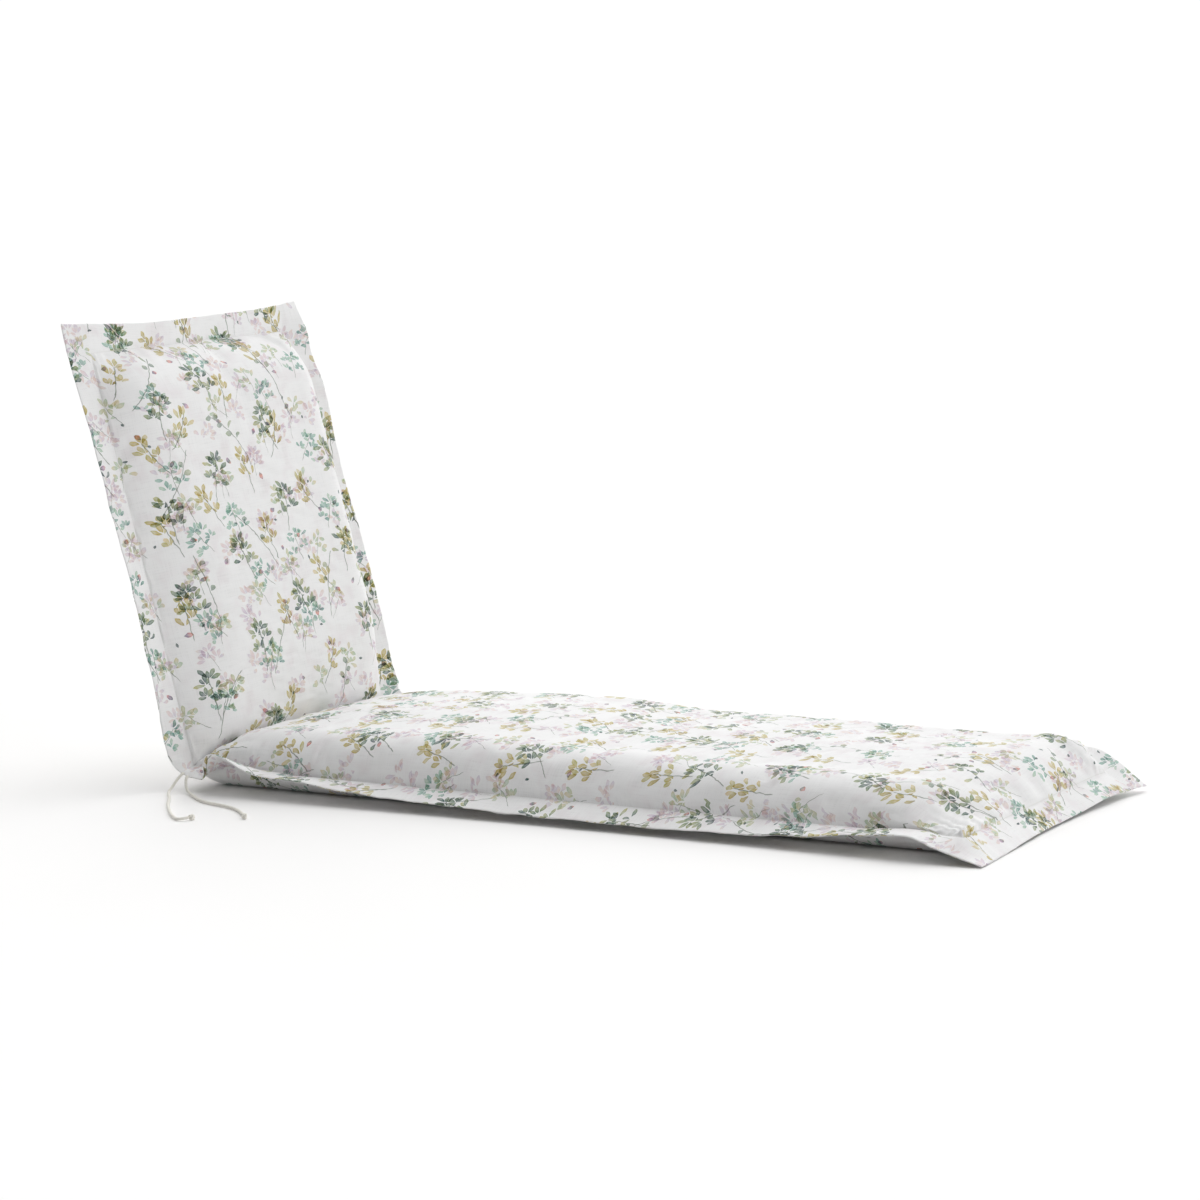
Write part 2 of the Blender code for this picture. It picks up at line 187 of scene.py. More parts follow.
# How full the faces stand up from the stitch line, and how far in they reach their depth.
# Columns: along; at the near side; at the far side; at the head or foot end beside the near side;
# at that end beside the far side
FULLNESS = (
    (-BACK, 0.70, 0.068, 0.90, 0.060, 0.18, 0.100, 0.30, 0.095),
    (-0.550, 0.56, 0.078, 0.97, 0.058, 0.18, 0.100, 0.30, 0.095),
    (-0.440, 0.22, 0.110, 1.05, 0.056, 0.18, 0.100, 0.30, 0.095),
    (-0.200, 0.18, 0.130, 1.05, 0.054, 0.30, 0.085, 0.40, 0.080),
    (-0.080, 0.35, 0.105, 1.00, 0.056, 0.30, 0.085, 0.40, 0.080),
    (0.000, 0.90, 0.056, 0.90, 0.060, 0.30, 0.085, 0.30, 0.085),
    (0.200, 1.00, 0.066, 0.85, 0.066, 0.30, 0.095, 0.30, 0.095),
    (0.900, 0.98, 0.076, 0.85, 0.066, 0.30, 0.095, 0.60, 0.085),
    (1.120, 0.84, 0.084, 0.95, 0.058, 0.16, 0.115, 0.80, 0.072),
    (1.190, 0.34, 0.112, 0.95, 0.058, 0.10, 0.125, 0.83, 0.071),
    (SEAT, 0.08, 0.128, 0.95, 0.058, 0.08, 0.128, 0.85, 0.070),
)
# The flange's outer edge on its way round the fold and along the seat. At the fold it is crumpled
# into a hump on both sides. Columns: along; forward and height at the near side; the same at the far
# side; how far the edge keeps from the middle of the cover
EDGE_AT_FOLD = (
    (-0.075, -0.0245, 0.1011, -0.0014, 0.1074, 0.2995),
    (-0.060, -0.0220, 0.0880, 0.0037, 0.0941, 0.2995),
    (-0.040, -0.0190, 0.0690, 0.0092, 0.0795, 0.2990),
    (-0.020, -0.0140, 0.0465, 0.0119, 0.0708, 0.2970),
    (-0.006, -0.0040, 0.0310, 0.0155, 0.0645, 0.2935),
    (0.006, 0.0095, 0.0225, 0.0220, 0.0610, 0.2905),
    (0.019, 0.0245, 0.0198, 0.0305, 0.0580, 0.2920),
    (0.033, 0.0395, 0.0196, 0.0405, 0.0562, 0.2940),
    (0.046, 0.0465, 0.0285, 0.0510, 0.0556, 0.2955),
    (0.057, 0.0462, 0.0430, 0.0600, 0.0548, 0.2968),
    (0.066, 0.0505, 0.0540, 0.0690, 0.0536, 0.2974),
    (0.076, 0.0605, 0.0588, 0.0780, 0.0520, 0.2978),
    (0.088, 0.0755, 0.0576, 0.0895, 0.0490, 0.2984),
    (0.102, 0.0930, 0.0512, 0.1020, 0.0445, 0.2988),
    (0.120, 0.1140, 0.0415, 0.1200, 0.0380, 0.2994),
    (0.150, 0.1470, 0.0345, 0.1500, 0.0300, 0.3000),
    (0.235, 0.2340, 0.0290, 0.2350, 0.0220, 0.3000),
    (0.310, 0.3095, 0.0218, 0.3100, 0.0196, 0.2992),
    (0.410, 0.4095, 0.0166, 0.4100, 0.0180, 0.2975),
    (0.640, 0.6395, 0.0125, 0.6400, 0.0160, 0.2965),
    (0.870, 0.8695, 0.0132, 0.8700, 0.0170, 0.2970),
    (1.050, 1.0495, 0.0230, 1.0500, 0.0225, 0.2975),
    (1.110, 1.1095, 0.0295, 1.1100, 0.0290, 0.2970),
    (1.150, 1.1490, 0.0342, 1.1490, 0.0440, 0.2970),
    (1.180, 1.1780, 0.0338, 1.1780, 0.0575, 0.2985),
    (1.202, 1.2000, 0.0275, 1.2000, 0.0585, 0.2985),
    (1.219, 1.2175, 0.0205, 1.2175, 0.0530, 0.2990),
    (1.240, 1.2390, 0.0155, 1.2390, 0.0395, 0.2995),
    (SEAT, 1.2850, 0.0034, 1.2850, 0.0058, 0.3000),
)
# How far the flange's outer edge stands forward of the back's stitch plane. Columns: distance up
# the back; at the near side; at the far side
BACK_EDGE = (
    (0.075, -0.0050, 0.0190), (0.110, -0.0030, 0.0210), (0.145, -0.0010, 0.0225),
    (0.184, -0.0020, 0.0220), (0.212, 0.0017, 0.0210), (0.278, 0.0035, 0.0215),
    (0.344, 0.0010, 0.0180), (0.377, 0.0008, 0.0165), (0.427, 0.0002, 0.0165),
    (0.455, 0.0000, 0.0180), (0.500, 0.0000, 0.0210), (0.525, -0.0010, 0.0215),
    (0.565, -0.0034, 0.0165), (0.593, -0.0060, 0.0125), (0.620, -0.0070, 0.0155),
    (0.650, -0.0058, 0.0120), (BACK, -0.0050, 0.0040),
)
# The head and foot edges. Columns: across; how far the head edge falls short of its full distance,
# and stands forward of the stitch plane; how far the foot edge falls short, and its height
END_EDGES = (
    (-HALF_WIDTH, -0.0045, -0.0045, 0.0000, 0.0026),
    (-0.200, 0.0045, 0.0015, 0.0060, 0.0022),
    (-0.060, 0.0095, 0.0060, 0.0150, 0.0038),
    (0.080, 0.0070, 0.0020, 0.0170, 0.0040),
    (0.200, 0.0065, 0.0045, 0.0120, 0.0095),
    (HALF_WIDTH, 0.0000, 0.0040, 0.0000, 0.0065),
)
# The two free ends of the tie, from the fold's corner to their knots: forward, across, height
TIE_ENDS = {
    "left": (
        (0.0080, -0.2928, 0.0265), (0.0070, -0.2985, 0.0240), (0.0035, -0.3050, 0.0170),
        (0.0010, -0.3120, 0.0090), (0.0030, -0.3230, 0.0045), (0.0120, -0.3375, 0.0028),
        (0.0290, -0.3595, 0.0028), (0.0590, -0.4046, 0.0028), (0.0960, -0.4506, 0.0028),
        (0.1190, -0.4745, 0.0028), (0.1310, -0.4830, 0.0029), (0.1400, -0.4815, 0.0036),
        (0.1440, -0.4750, 0.0044),
    ),
    "right": (
        (0.0150, -0.2930, 0.0225), (0.0170, -0.2990, 0.0195), (0.0205, -0.3050, 0.0125),
        (0.0270, -0.3110, 0.0060), (0.0370, -0.3185, 0.0032), (0.0540, -0.3330, 0.0028),
        (0.0810, -0.3545, 0.0028), (0.1060, -0.3660, 0.0028), (0.1300, -0.3725, 0.0028),
        (0.1530, -0.3810, 0.0028), (0.1730, -0.3935, 0.0028), (0.1920, -0.4110, 0.0030),
        (0.2070, -0.4275, 0.0044),
    ),
}
ROUTE_STEP = 0.0012
CORD_SIDES = 20
TWIST_LENGTH = 0.014  # of one turn of the cord's strands
FURROW = 0.20  # depth of the furrow between strands, as a share of the cord's radius
KNOT = (0.0110, 0.0085, 0.0080)  # length, width and height of a knot
KNOT_STEPS = 72
KNOT_SIDES = 16
KNOT_CORD = 0.44  # radius of the cord in a knot, as a share of its diameter

# The camera, at the photograph's view: its place from the fold, its aim, roll and lens
CAMERA_FROM_FOLD = (3.2158, -4.7697, 1.0356)
CAMERA_TURN = math.radians(29.19)
CAMERA_DOWN = math.radians(7.91)
CAMERA_ROLL = math.radians(-0.819)
CAMERA_LENS = 113.24
CAMERA_SENSOR = 36.0

# The light: which way each lamp stands from the object, and the room's brightness
KEY_FROM = (-0.28, 0.58, 0.79)
FILL_FROM = (0.97, 0.05, 0.20)
NEAR_DIMMER = 0.70  # how much darker the room is on the camera's side, and brighter beyond
BACKGROUND = 1.05  # of the room where the camera looks past the floor
FLOOR_SIZE = 120


def through(x, y, at):
    """A smooth curve through the points (x, y), read at these places. y may hold rows of values."""
    x, y = np.asarray(x, float), np.asarray(y, float)
    order = np.arange(len(x))
    low, high = np.maximum(order - 1, 0), np.minimum(order + 1, len(x) - 1)
    extra = (1,) * (y.ndim - 1)
    slope = (y[high] - y[low]) / (x[high] - x[low]).reshape(-1, *extra)
    at = np.clip(at, x[0], x[-1])
    i = np.clip(np.searchsorted(x, at, side="right") - 1, 0, len(x) - 2)
    step = (x[i + 1] - x[i]).reshape(*at.shape, *extra)
    u = (at - x[i]).reshape(*at.shape, *extra) / step
    ends = y[i] * (2 * u**3 - 3 * u**2 + 1) + y[i + 1] * (3 * u**2 - 2 * u**3)
    return ends + (slope[i] * (u**3 - 2 * u**2 + u) + slope[i + 1] * (u**3 - u**2)) * step


def read_table(rows, at):
    """The table's other columns at these values of its first, on smooth curves."""
    rows = np.array(rows)
    return np.moveaxis(through(rows[:, 0], rows[:, 1:], at), -1, 0)


def read_grid(rows, columns, grid, along, across):
    """A coarse grid of numbers or vectors, read on a finer one."""
    down = through(rows, grid, along[:, 0])
    return np.swapaxes(through(columns, np.swapaxes(down, 0, 1), across[0]), 0, 1)


def smooth_step(u):
    u = np.clip(u, 0, 1)
    return u * u * (3 - 2 * u)


def rounded(distance, radius):
    """A quarter circle that rises from 0 to 1 over the radius."""
    q = np.clip(distance / radius, 0, 1)
    return np.sqrt(1 - (1 - q) ** 2)


def swelling(distance, radius, fullness):
    """A rise from 0 to 1 over the radius: a quarter circle at fullness 1, a soft slope at 0."""
    q = np.clip(distance / radius, 0, 1)
    return fullness * np.sqrt(1 - (1 - q) ** 2) + (1 - fullness) * np.sin(q * math.pi / 2)


def soft_least(a, b, ease):
    """The lesser of two heights, with the corner between them eased."""
    h = np.maximum(ease - abs(a - b), 0) / np.maximum(ease, 1e-6)
    return np.minimum(a, b) - h * h * ease / 4


def point(x, y, z):
    return np.stack(np.broadcast_arrays(x, y, z), axis=-1)


def unit(vectors):
    return vectors / np.maximum(np.linalg.norm(vectors, axis=-1, keepdims=True), 1e-12)


def stations(steps):
    """Places from the first of the table to its last, each stretch divided evenly by its step."""
    places = []
    for (start, step), (end, _) in zip(steps, steps[1:]):
        count = max(1, round((end - start) / step))
        places += [start + (end - start) * k / count for k in range(count)]
    return np.array(places + [steps[-1][0]])


def thinned(places, seams, coarse):
    """Every coarse-th place, and those nearest to a seam or an edge."""
    keep = np.zeros(len(places), bool)
    keep[::coarse] = True
    for seam in seams:
        keep[np.argmin(abs(places - seam))] = True
    return places[keep]


def cloth_grid(coarse=1):
    """The rows' distances along the cloth and the columns' places across it."""
    rows = thinned(stations(ROW_STEPS), (-BACK, FLANGE - BACK, 0.0, SEAT - FLANGE, SEAT), coarse)
    half = thinned(stations(COLUMN_STEPS), (0.0, STITCH, HALF_WIDTH), coarse)
    return rows[:, None], np.concatenate([-half[:0:-1], half])[None, :]


def dapple(along, across, name):
    """Soft random values from -1 to 1 all over the cloth, in spots of the size that the table gives."""
    sizes, seed = SPOTS[name]
    chance = np.random.default_rng(seed)
    rows = np.arange(-BACK - sizes[0], SEAT + 2 * sizes[0], sizes[0])
    columns = np.arange(-HALF_WIDTH - sizes[1], HALF_WIDTH + 2 * sizes[1], sizes[1])
    spots = chance.uniform(-1, 1, (len(rows), len(columns)))
    return read_grid(rows, columns, spots, along, across)


def cloth_length(along):
    return np.where(along < 0, BACK, SEAT)


def from_seams(along, across):
    """How far inside the stitch line a place is, from its side and from its end."""
    return STITCH - abs(across), cloth_length(along) - FLANGE - abs(along)


def face_depth(along, across):
    """Depth of a pad's face over its stitch plane."""
    inside, from_end = from_seams(along, across)
    away = smooth_step(abs(along) / FOLD_REACH)
    depth = read_table(PAD_DEPTH, along)[0]
    depth = depth + FACE_CROWN * smooth_step(inside / STITCH) * away
    depth = depth + FAR_BULGE * smooth_step(across / STITCH) * smooth_step(-along / FOLD_REACH)
    fullness = read_table(FULLNESS, along)
    near, near_reach, far, far_reach, near_end, near_end_reach, far_end, far_end_reach = fullness
    to_far = smooth_step((across / STITCH + 1) / 2)
    side_reach = np.where(across < 0, near_reach, far_reach)
    side_reach = FOLD_ROUND + (side_reach - FOLD_ROUND) * away
    end_reach = near_end_reach + (far_end_reach - near_end_reach) * to_far
    depth = depth * swelling(inside, side_reach, np.where(across < 0, near, far))
    depth = depth * swelling(from_end, end_reach, near_end + (far_end - near_end) * to_far)
    squeezed = CREASE_SLOPE * abs(along) - CREASE_GAP
    return np.maximum(soft_least(depth, squeezed, CREASE_EASE * np.minimum(1, depth / CREASE_DEPTH)), 0)


def rear_share(along, across):
    """How much of its full depth a pad has behind its stitch plane, from 0 to 1."""
    inside, from_end = from_seams(along, across)
    return rounded(inside, REAR_ROUND) * rounded(from_end, REAR_END_ROUND) * rounded(abs(along), REAR_ROUND)


def stitch_height(along, across):
    """Height of the seat's stitch plane: level, but lifted beside the hump and at the foot's corners."""
    rise, fall, end = HUMP_REACH
    _, near, _, far, _ = read_table(EDGE_AT_FOLD, along)
    lift = np.maximum(np.where(across < 0, near, far) - HUMP_FOOT, 0)
    inside = STITCH - abs(across)
    at_fold = smooth_step(along / rise) * smooth_step((end - along) / (end - fall))
    at_fold = at_fold * smooth_step(1 - inside / HUMP_INSIDE)
    start, rise, fall, end = FOOT_LIFT_REACH
    at_foot = smooth_step((along - start) / (rise - start)) * smooth_step((end - along) / (end - fall))
    at_foot = at_foot * smooth_step(1 - inside / FOOT_LIFT_INSIDE)
    lift = lift * (HUMP_SHARE * at_fold + FOOT_LIFT_SHARE * at_foot)
    return FOLD_HEIGHT + (SEAM_HEIGHT - FOLD_HEIGHT) * smooth_step(along / FOLD_ROUND) + lift


def back_point(up, forward, across):
    """A point this far up the back from the fold, and this far forward of its stitch plane."""
    return FOLD + BACK_UP * up[..., None] + BACK_FACE * forward[..., None] + point(0, across, 0)


def stitch_plane(along, across):
    """Points of the plane of the stitch line, inside it."""
    on_back = back_point(-along, 0 * along, across)
    on_seat = point(FOLD_X + along, across, stitch_height(along, across))
    return np.where((along <= 0)[..., None], on_back, on_seat)


def side_edge(along, across):
    """Points on the flange's outer edge, at the near side or the far one."""
    is_near = across < 0
    sign = np.where(is_near, -1, 1)
    near_forward, near_height, far_forward, far_height, out = read_table(EDGE_AT_FOLD, along)
    forward = np.where(is_near, near_forward, far_forward)
    low = point(FOLD_X + forward, sign * out, np.where(is_near, near_height, far_height))
    near, far = read_table(BACK_EDGE, -along)
    high = back_point(-along, np.where(is_near, near, far), sign * HALF_WIDTH)
    return np.where((along < EDGE_AT_FOLD[0][0])[..., None], high, low)


def end_edge(along, across):
    """Points on the head edge or the foot edge."""
    head_short, head_forward, foot_short, foot_height = read_table(END_EDGES, across)
    head = back_point(BACK - head_short, head_forward, across)
    foot = point(FOLD_X + SEAT - foot_short, across, foot_height)
    return np.where((along < 0)[..., None], head, foot)


def middle_surface(along, across):
    """Points between the face cloth and the under cloth, all over the cover."""
    along, across = np.broadcast_arrays(along, across)
    sign = np.where(across < 0, -1, 1)
    out_side, out_end = (
        np.maximum(-inward, 0)[..., None] / FLANGE for inward in from_seams(along, across)
    )
    inner_across = np.clip(across, -STITCH, STITCH)
    inner_along = np.clip(along, -(BACK - FLANGE), SEAT - FLANGE)
    inner = stitch_plane(inner_along, inner_across)
    to_side = side_edge(inner_along, across) - stitch_plane(inner_along, sign * STITCH)
    to_end = end_edge(along, inner_across) - inner
    corner = end_edge(along, sign * HALF_WIDTH)
    missed = corner - (inner + to_side + to_end)
    return inner + to_side * out_side + to_end * out_end + missed * out_side * out_end


def square_to(surface):
    """Unit vectors square to a grid of points, on the side of the face cloth."""
    return unit(np.cross(np.gradient(surface, axis=0), np.gradient(surface, axis=1)))


def both_cloths(along, across, cloth):
    """Points of the face cloth and of the under cloth, as grids of rows and columns."""
    middle = middle_surface(along, across)
    flange_way = square_to(middle)
    along, across = np.broadcast_arrays(along, across)
    pad_way = np.where((along < 0)[..., None], BACK_FACE, SEAT_UP)
    pad_way = np.where((along == 0)[..., None], unit(BACK_FACE + SEAT_UP), pad_way)
    out = -np.minimum(*from_seams(along, across))
    turned = smooth_step(out / FLANGE * TURN_RATE)[..., None]
    way = unit(pad_way * (1 - turned) + flange_way * turned)
    to_edge = np.minimum(HALF_WIDTH - abs(across), cloth_length(along) - abs(along))
    half = cloth / 2 * np.maximum(rounded(to_edge, HEM_ROUND), HEM_LEAST)
    half = half * (1 - SEAM_DENT * np.exp(-((out / SEAM_DENT_REACH) ** 2)))
    face = middle + way * (half + face_depth(along, across))[..., None]
    share = rear_share(along, across)
    rear = middle - way * (half + REAR_DEPTH * share)[..., None]
    under_seat = point(middle[..., 0], middle[..., 1], (middle[..., 2] - half) * (1 - share))
    lies = (along > 0) & (out < 0)
    return face, np.where(lies[..., None], under_seat, rear)


def pleated(waves):
    """Waves with round tops and narrow valleys, as cloth has where stitches gather it."""
    return 2 * np.sqrt(waves**2 + PLEAT_NARROW) - PLEAT_LEVEL


def gathered(folds, from_seam, by_corner):
    """Gathers beside one seam: they fade out from it, and are stronger by a pad's corner."""
    reach = PUCKER_REACH * (1 + CORNER_SPREAD * by_corner)
    fade = smooth_step(from_seam / PUCKER_START) * np.exp(-((np.maximum(from_seam, 0) / reach) ** 1.5))
    return PUCKER * (1 + CORNER_GATHER * by_corner) * folds * fade


def puckers(along, across):
    """How far the face cloth stands out or in where it is gathered by the stitches."""
    inside, from_end = from_seams(along, across)
    side, end = (
        pleated(dapple(along, across, seam + " gathers"))
        + FOLDS_SHARE * dapple(along, across, seam + " folds")
        for seam in ("side", "end")
    )
    near_corner = np.where((along > 0) & (across < 0), NEAR_FOOT_GATHER, 1.0)
    by_end = near_corner * np.exp(-np.maximum(from_end, 0) / CORNER_REACH)
    by_side = near_corner * np.exp(-np.maximum(inside, 0) / CORNER_REACH)
    both = gathered(side, inside, by_end) + gathered(end, from_end, by_side)
    return np.where((inside > 0) & (from_end > 0), both, 0)


def flange_waves(along, across):
    """How far the flange stands out of its own surface: more at its edge than at the stitches."""
    out_side, out_end = (-inward / FLANGE for inward in from_seams(along, across))
    side, end = (
        dapple(along, across, seam + " waves") + RIPPLES_SHARE * dapple(along, across, seam + " ripples")
        for seam in ("side", "end")
    )
    waves = FLANGE_WAVE * (side * smooth_step(out_side) + end * smooth_step(out_end))
    crumple = dapple(along, across, "crumples") + RIPPLES_SHARE * dapple(along, across, "small crumples")
    beside_fold = np.exp(-((along / CRUMPLE_REACH) ** 2))
    return waves + CRUMPLE * crumple * beside_fold * smooth_step(out_side * 2)


def unevenness(along, across):
    """How far a pad's face stands out or in where the filling is fuller or thinner."""
    inside, from_end = from_seams(along, across)
    fade = smooth_step(inside / UNEVEN_START) * smooth_step(from_end / UNEVEN_START)
    fade = fade * smooth_step(abs(along) / UNEVEN_FROM_FOLD)
    large, small = dapple(along, across, "large lumps"), dapple(along, across, "small lumps")
    return fade * (UNEVEN[0] * large + UNEVEN[1] * small)


def shaped_cloths(along, across, cloth):
    face, under = both_cloths(along, across, cloth)
    along, across = np.broadcast_arrays(along, across)
    waves = flange_waves(along, across)
    lift = puckers(along, across) + unevenness(along, across) + waves
    face = face + square_to(face) * lift[..., None]
    under = under + square_to(under) * waves[..., None]
    under[..., 2] = np.maximum(under[..., 2], LOWEST)
    face[..., 2] = np.maximum(face[..., 2], under[..., 2])
    return face, under


def settled(cloth):
    """How far the filling swells and creases the face cloth, on a coarse grid, by simulation.

    The cloth is held on the flange, at its seams and underneath, and loosely in the middle of a pad.
    """
    rows, columns = cloth_grid(SETTLING_COARSE)
    face, under = shaped_cloths(rows, columns, cloth)
    obj, row, column, is_face = cloth_mesh("settling cover", rows, columns)
    start = np.where(is_face[:, None], face[row, column], under[row, column])
    place_vertices(obj, start)
    along, across = rows[row, 0], columns[0, column]
    inside = np.minimum(*from_seams(along, across))
    free, fast = FREE_BESIDE_SEAM
    hold = HELD_IN_MIDDLE * smooth_step((inside - free) / (fast - free))
    hold = np.where(is_face & (inside > SEWN_FAST) & (abs(along) > FOLD_SEWN_FAST), hold, 1.0)
    steps = np.rint(hold * HOLD_STEPS).astype(int)
    held = obj.vertex_groups.new(name="held")
    for step in np.unique(steps[steps > 0]):
        held.add(np.nonzero(steps == step)[0].tolist(), step / HOLD_STEPS, "REPLACE")
    filling = obj.modifiers.new("filling", "CLOTH")
    filling.collision_settings.use_collision = False
    filling.settings.vertex_group_mass = held.name
    filling.settings.effector_weights.gravity = 0
    for name, value in SETTLING.items():
        setattr(filling.settings, name, value)
    for number in range(1, SETTLING_FRAMES + 1):
        bpy.context.scene.frame_set(number)
    bpy.ops.object.modifier_apply(modifier=filling.name)
    moves = vertex_places(obj) - start
    moves = moves * (LARGEST_MOVE / (LARGEST_MOVE + np.linalg.norm(moves, axis=1, keepdims=True)))
    grid = np.zeros(face.shape)
    grid[row[is_face], column[is_face]] = moves[is_face]
    bpy.context.scene.frame_set(1)
    bpy.data.objects.remove(obj)
    return rows[:, 0], columns[0], grid


def run_of_cloth(surface, along, across):
    """Across and along the flat cloth, in metres, for every point of its grid."""
    across_steps = np.linalg.norm(np.diff(surface, axis=1), axis=-1)
    u = np.concatenate([np.zeros((len(surface), 1)), np.cumsum(across_steps, axis=1)], axis=1)
    middle = np.argmin(abs(across[0]))
    u = u - u[:, middle : middle + 1]
    along_steps = np.linalg.norm(np.diff(surface, axis=0), axis=-1)
    v = np.concatenate([np.zeros((1, surface.shape[1])), np.cumsum(along_steps, axis=0)])
    on_back, on_seat = (np.argmin(abs(along[:, 0] - place)) for place in PRINT_TRUE_AT)
    back = v - v[on_back] + along[on_back, 0]
    seat = v - v[on_seat] + along[on_seat, 0]
    return np.stack([u, np.where(along <= 0, back, seat)], axis=-1)


def deselect():
    bpy.ops.object.select_all(action="DESELECT")


def cloth_mesh(name, along, across):
    """A closed sheet over a flat grid, with the row and the column of each of its vertices."""
    deselect()
    rows, columns = len(along), across.shape[1]
    bpy.ops.mesh.primitive_grid_add(x_subdivisions=rows - 1, y_subdivisions=columns - 1, size=2)
    obj = bpy.context.object
    obj.name = name
    sheet = obj.modifiers.new("two cloths", "SOLIDIFY")
    sheet.thickness = 0.2
    sheet.offset = 0
    bpy.ops.object.modifier_apply(modifier=sheet.name)
    places = vertex_places(obj)
    row = np.rint((places[:, 0] + 1) / 2 * (rows - 1)).astype(int)
    column = np.rint((places[:, 1] + 1) / 2 * (columns - 1)).astype(int)
    return obj, row, column, places[:, 2] > 0


def vertex_places(obj):
    places = np.zeros(len(obj.data.vertices) * 3)
    obj.data.vertices.foreach_get("co", places)
    return places.reshape(-1, 3)


def place_vertices(obj, places):
    obj.data.vertices.foreach_set("co", places.ravel())
    obj.data.update()


def read_at(surface, rows, columns, along, across):
    """Points of a grid of points, at these places along and across the cloth."""
    i = np.clip(np.searchsorted(rows[:, 0], along, side="right") - 1, 0, len(rows) - 2)
    j = np.clip(np.searchsorted(columns[0], across, side="right") - 1, 0, columns.shape[1] - 2)
    u = ((along - rows[i, 0]) / (rows[i + 1, 0] - rows[i, 0]))[:, None]
    v = ((across - columns[0, j]) / (columns[0, j + 1] - columns[0, j]))[:, None]
    near = surface[i, j] * (1 - u) + surface[i + 1, j] * u
    far = surface[i, j + 1] * (1 - u) + surface[i + 1, j + 1] * u
    return near * (1 - v) + far * v


def stitch_line(spacing):
    """Places of evenly spaced stitches round the stitch line, along and across the cloth."""
    head, foot = FLANGE - BACK, SEAT - FLANGE
    corners = np.array([(head, -STITCH), (foot, -STITCH), (foot, STITCH), (head, STITCH), (head, -STITCH)])
    run = np.concatenate([[0], np.cumsum(np.linalg.norm(np.diff(corners, axis=0), axis=1))])
    at = (np.arange(round(run[-1] / spacing)) + 0.5) * spacing
    return np.interp(at, run, corners[:, 0]), np.interp(at, run, corners[:, 1])


def print_map(obj, row, column, is_face, face_run, under_run):
    """The cloth's own map: metres of flat cloth, the under cloth's beside the face cloth's."""
    layer = obj.data.uv_layers[0]
    layer.name = "cloth"
    corners = np.zeros(len(obj.data.loops), int)
    obj.data.loops.foreach_get("vertex_index", corners)
    sizes = np.zeros(len(obj.data.polygons), int)
    obj.data.polygons.foreach_get("loop_total", sizes)
    polygon = np.repeat(np.arange(len(sizes)), sizes)
    shares = np.bincount(polygon, is_face[corners]) / sizes
    on_face = shares[polygon] > 0
    run = np.where(
        on_face[:, None],
        face_run[row[corners], column[corners]],
        under_run[row[corners], column[corners]] + UNDER_PRINT_AWAY,
    )
    turned_under = on_face & ~is_face[corners]
    run[turned_under] *= HEM_PRINT
    layer.data.foreach_set("uv", run.ravel())


class Number:
    """A number that nodes work out, so that a formula can be written as one."""

    def __init__(self, tree, socket):
        self.tree = tree
        self.socket = socket

    def to(self, operation, *others):
        return worked_out(self.tree, operation, self, *others)

    def __add__(self, other):
        return self.to("ADD", other)

    __radd__ = __add__

    def __sub__(self, other):
        return self.to("SUBTRACT", other)

    def __rsub__(self, other):
        return worked_out(self.tree, "SUBTRACT", other, self)

    def __mul__(self, other):
        return self.to("MULTIPLY", other)

    def __truediv__(self, other):
        return self.to("DIVIDE", other)


def feed(tree, socket, value):
    value = getattr(value, "socket", value)
    if isinstance(value, bpy.types.NodeSocket):
        tree.links.new(value, socket)
    else:
        socket.default_value = value


def worked_out(tree, operation, *values):
    node = tree.nodes.new("ShaderNodeMath")
    node.operation = operation
    for socket, value in zip(node.inputs, values):
        feed(tree, socket, value)
    return Number(tree, node.outputs[0])


def eased(value, low, high):
    """0 below low, 1 above high and a soft change between them."""
    node = value.tree.nodes.new("ShaderNodeMapRange")
    node.interpolation_type = "SMOOTHSTEP"
    feed(value.tree, node.inputs["Value"], value)
    feed(value.tree, node.inputs["From Min"], low)
    feed(value.tree, node.inputs["From Max"], high)
    return Number(value.tree, node.outputs["Result"])


def vector_of(tree, x, y, z=0.0):
    node = tree.nodes.new("ShaderNodeCombineXYZ")
    for socket, value in zip(node.inputs, (x, y, z)):
        feed(tree, socket, value)
    return node.outputs[0]


def chances(tree, x, y, z, w):
    """Four random numbers from 0 to 1 that depend on these four."""
    node = tree.nodes.new("ShaderNodeTexWhiteNoise")
    node.noise_dimensions = "4D"
    tree.links.new(vector_of(tree, x, y, z), node.inputs["Vector"])
    feed(tree, node.inputs["W"], w)
    parts = tree.nodes.new("ShaderNodeSeparateColor")
    tree.links.new(node.outputs["Color"], parts.inputs[0])
    return [Number(tree, node.outputs["Value"])] + [Number(tree, part) for part in parts.outputs]


def linear(colour):
    """A colour of 0 to 255 as it looks on a screen, made linear."""
    shares = [part / 255 for part in colour]
    return tuple(s / 12.92 if s <= 0.04045 else ((s + 0.055) / 1.055) ** 2.4 for s in shares)


def from_inks(tree, inks, place):
    """A colour from the row of inks, at this place from 0 to 1 along it."""
    node = tree.nodes.new("ShaderNodeValToRGB")
    feed(tree, node.inputs[0], place)
    stops = node.color_ramp.elements
    while len(stops) < len(inks):
        stops.new(0.5)
    for k, ink in enumerate(inks):
        stops[k].position = k / (len(inks) - 1)
        stops[k].color = (*linear(ink), 1)
    return node.outputs[0]


def laid_over(tree, under, ink, strength):
    """The colour under a wash of ink, which darkens it as watercolour does."""
    node = tree.nodes.new("ShaderNodeMix")
    node.data_type = "RGBA"
    node.blend_type = "MULTIPLY"
    feed(tree, node.inputs[0], strength)
    feed(tree, node.inputs[6], under)
    feed(tree, node.inputs[7], ink)
    return node.outputs[2]


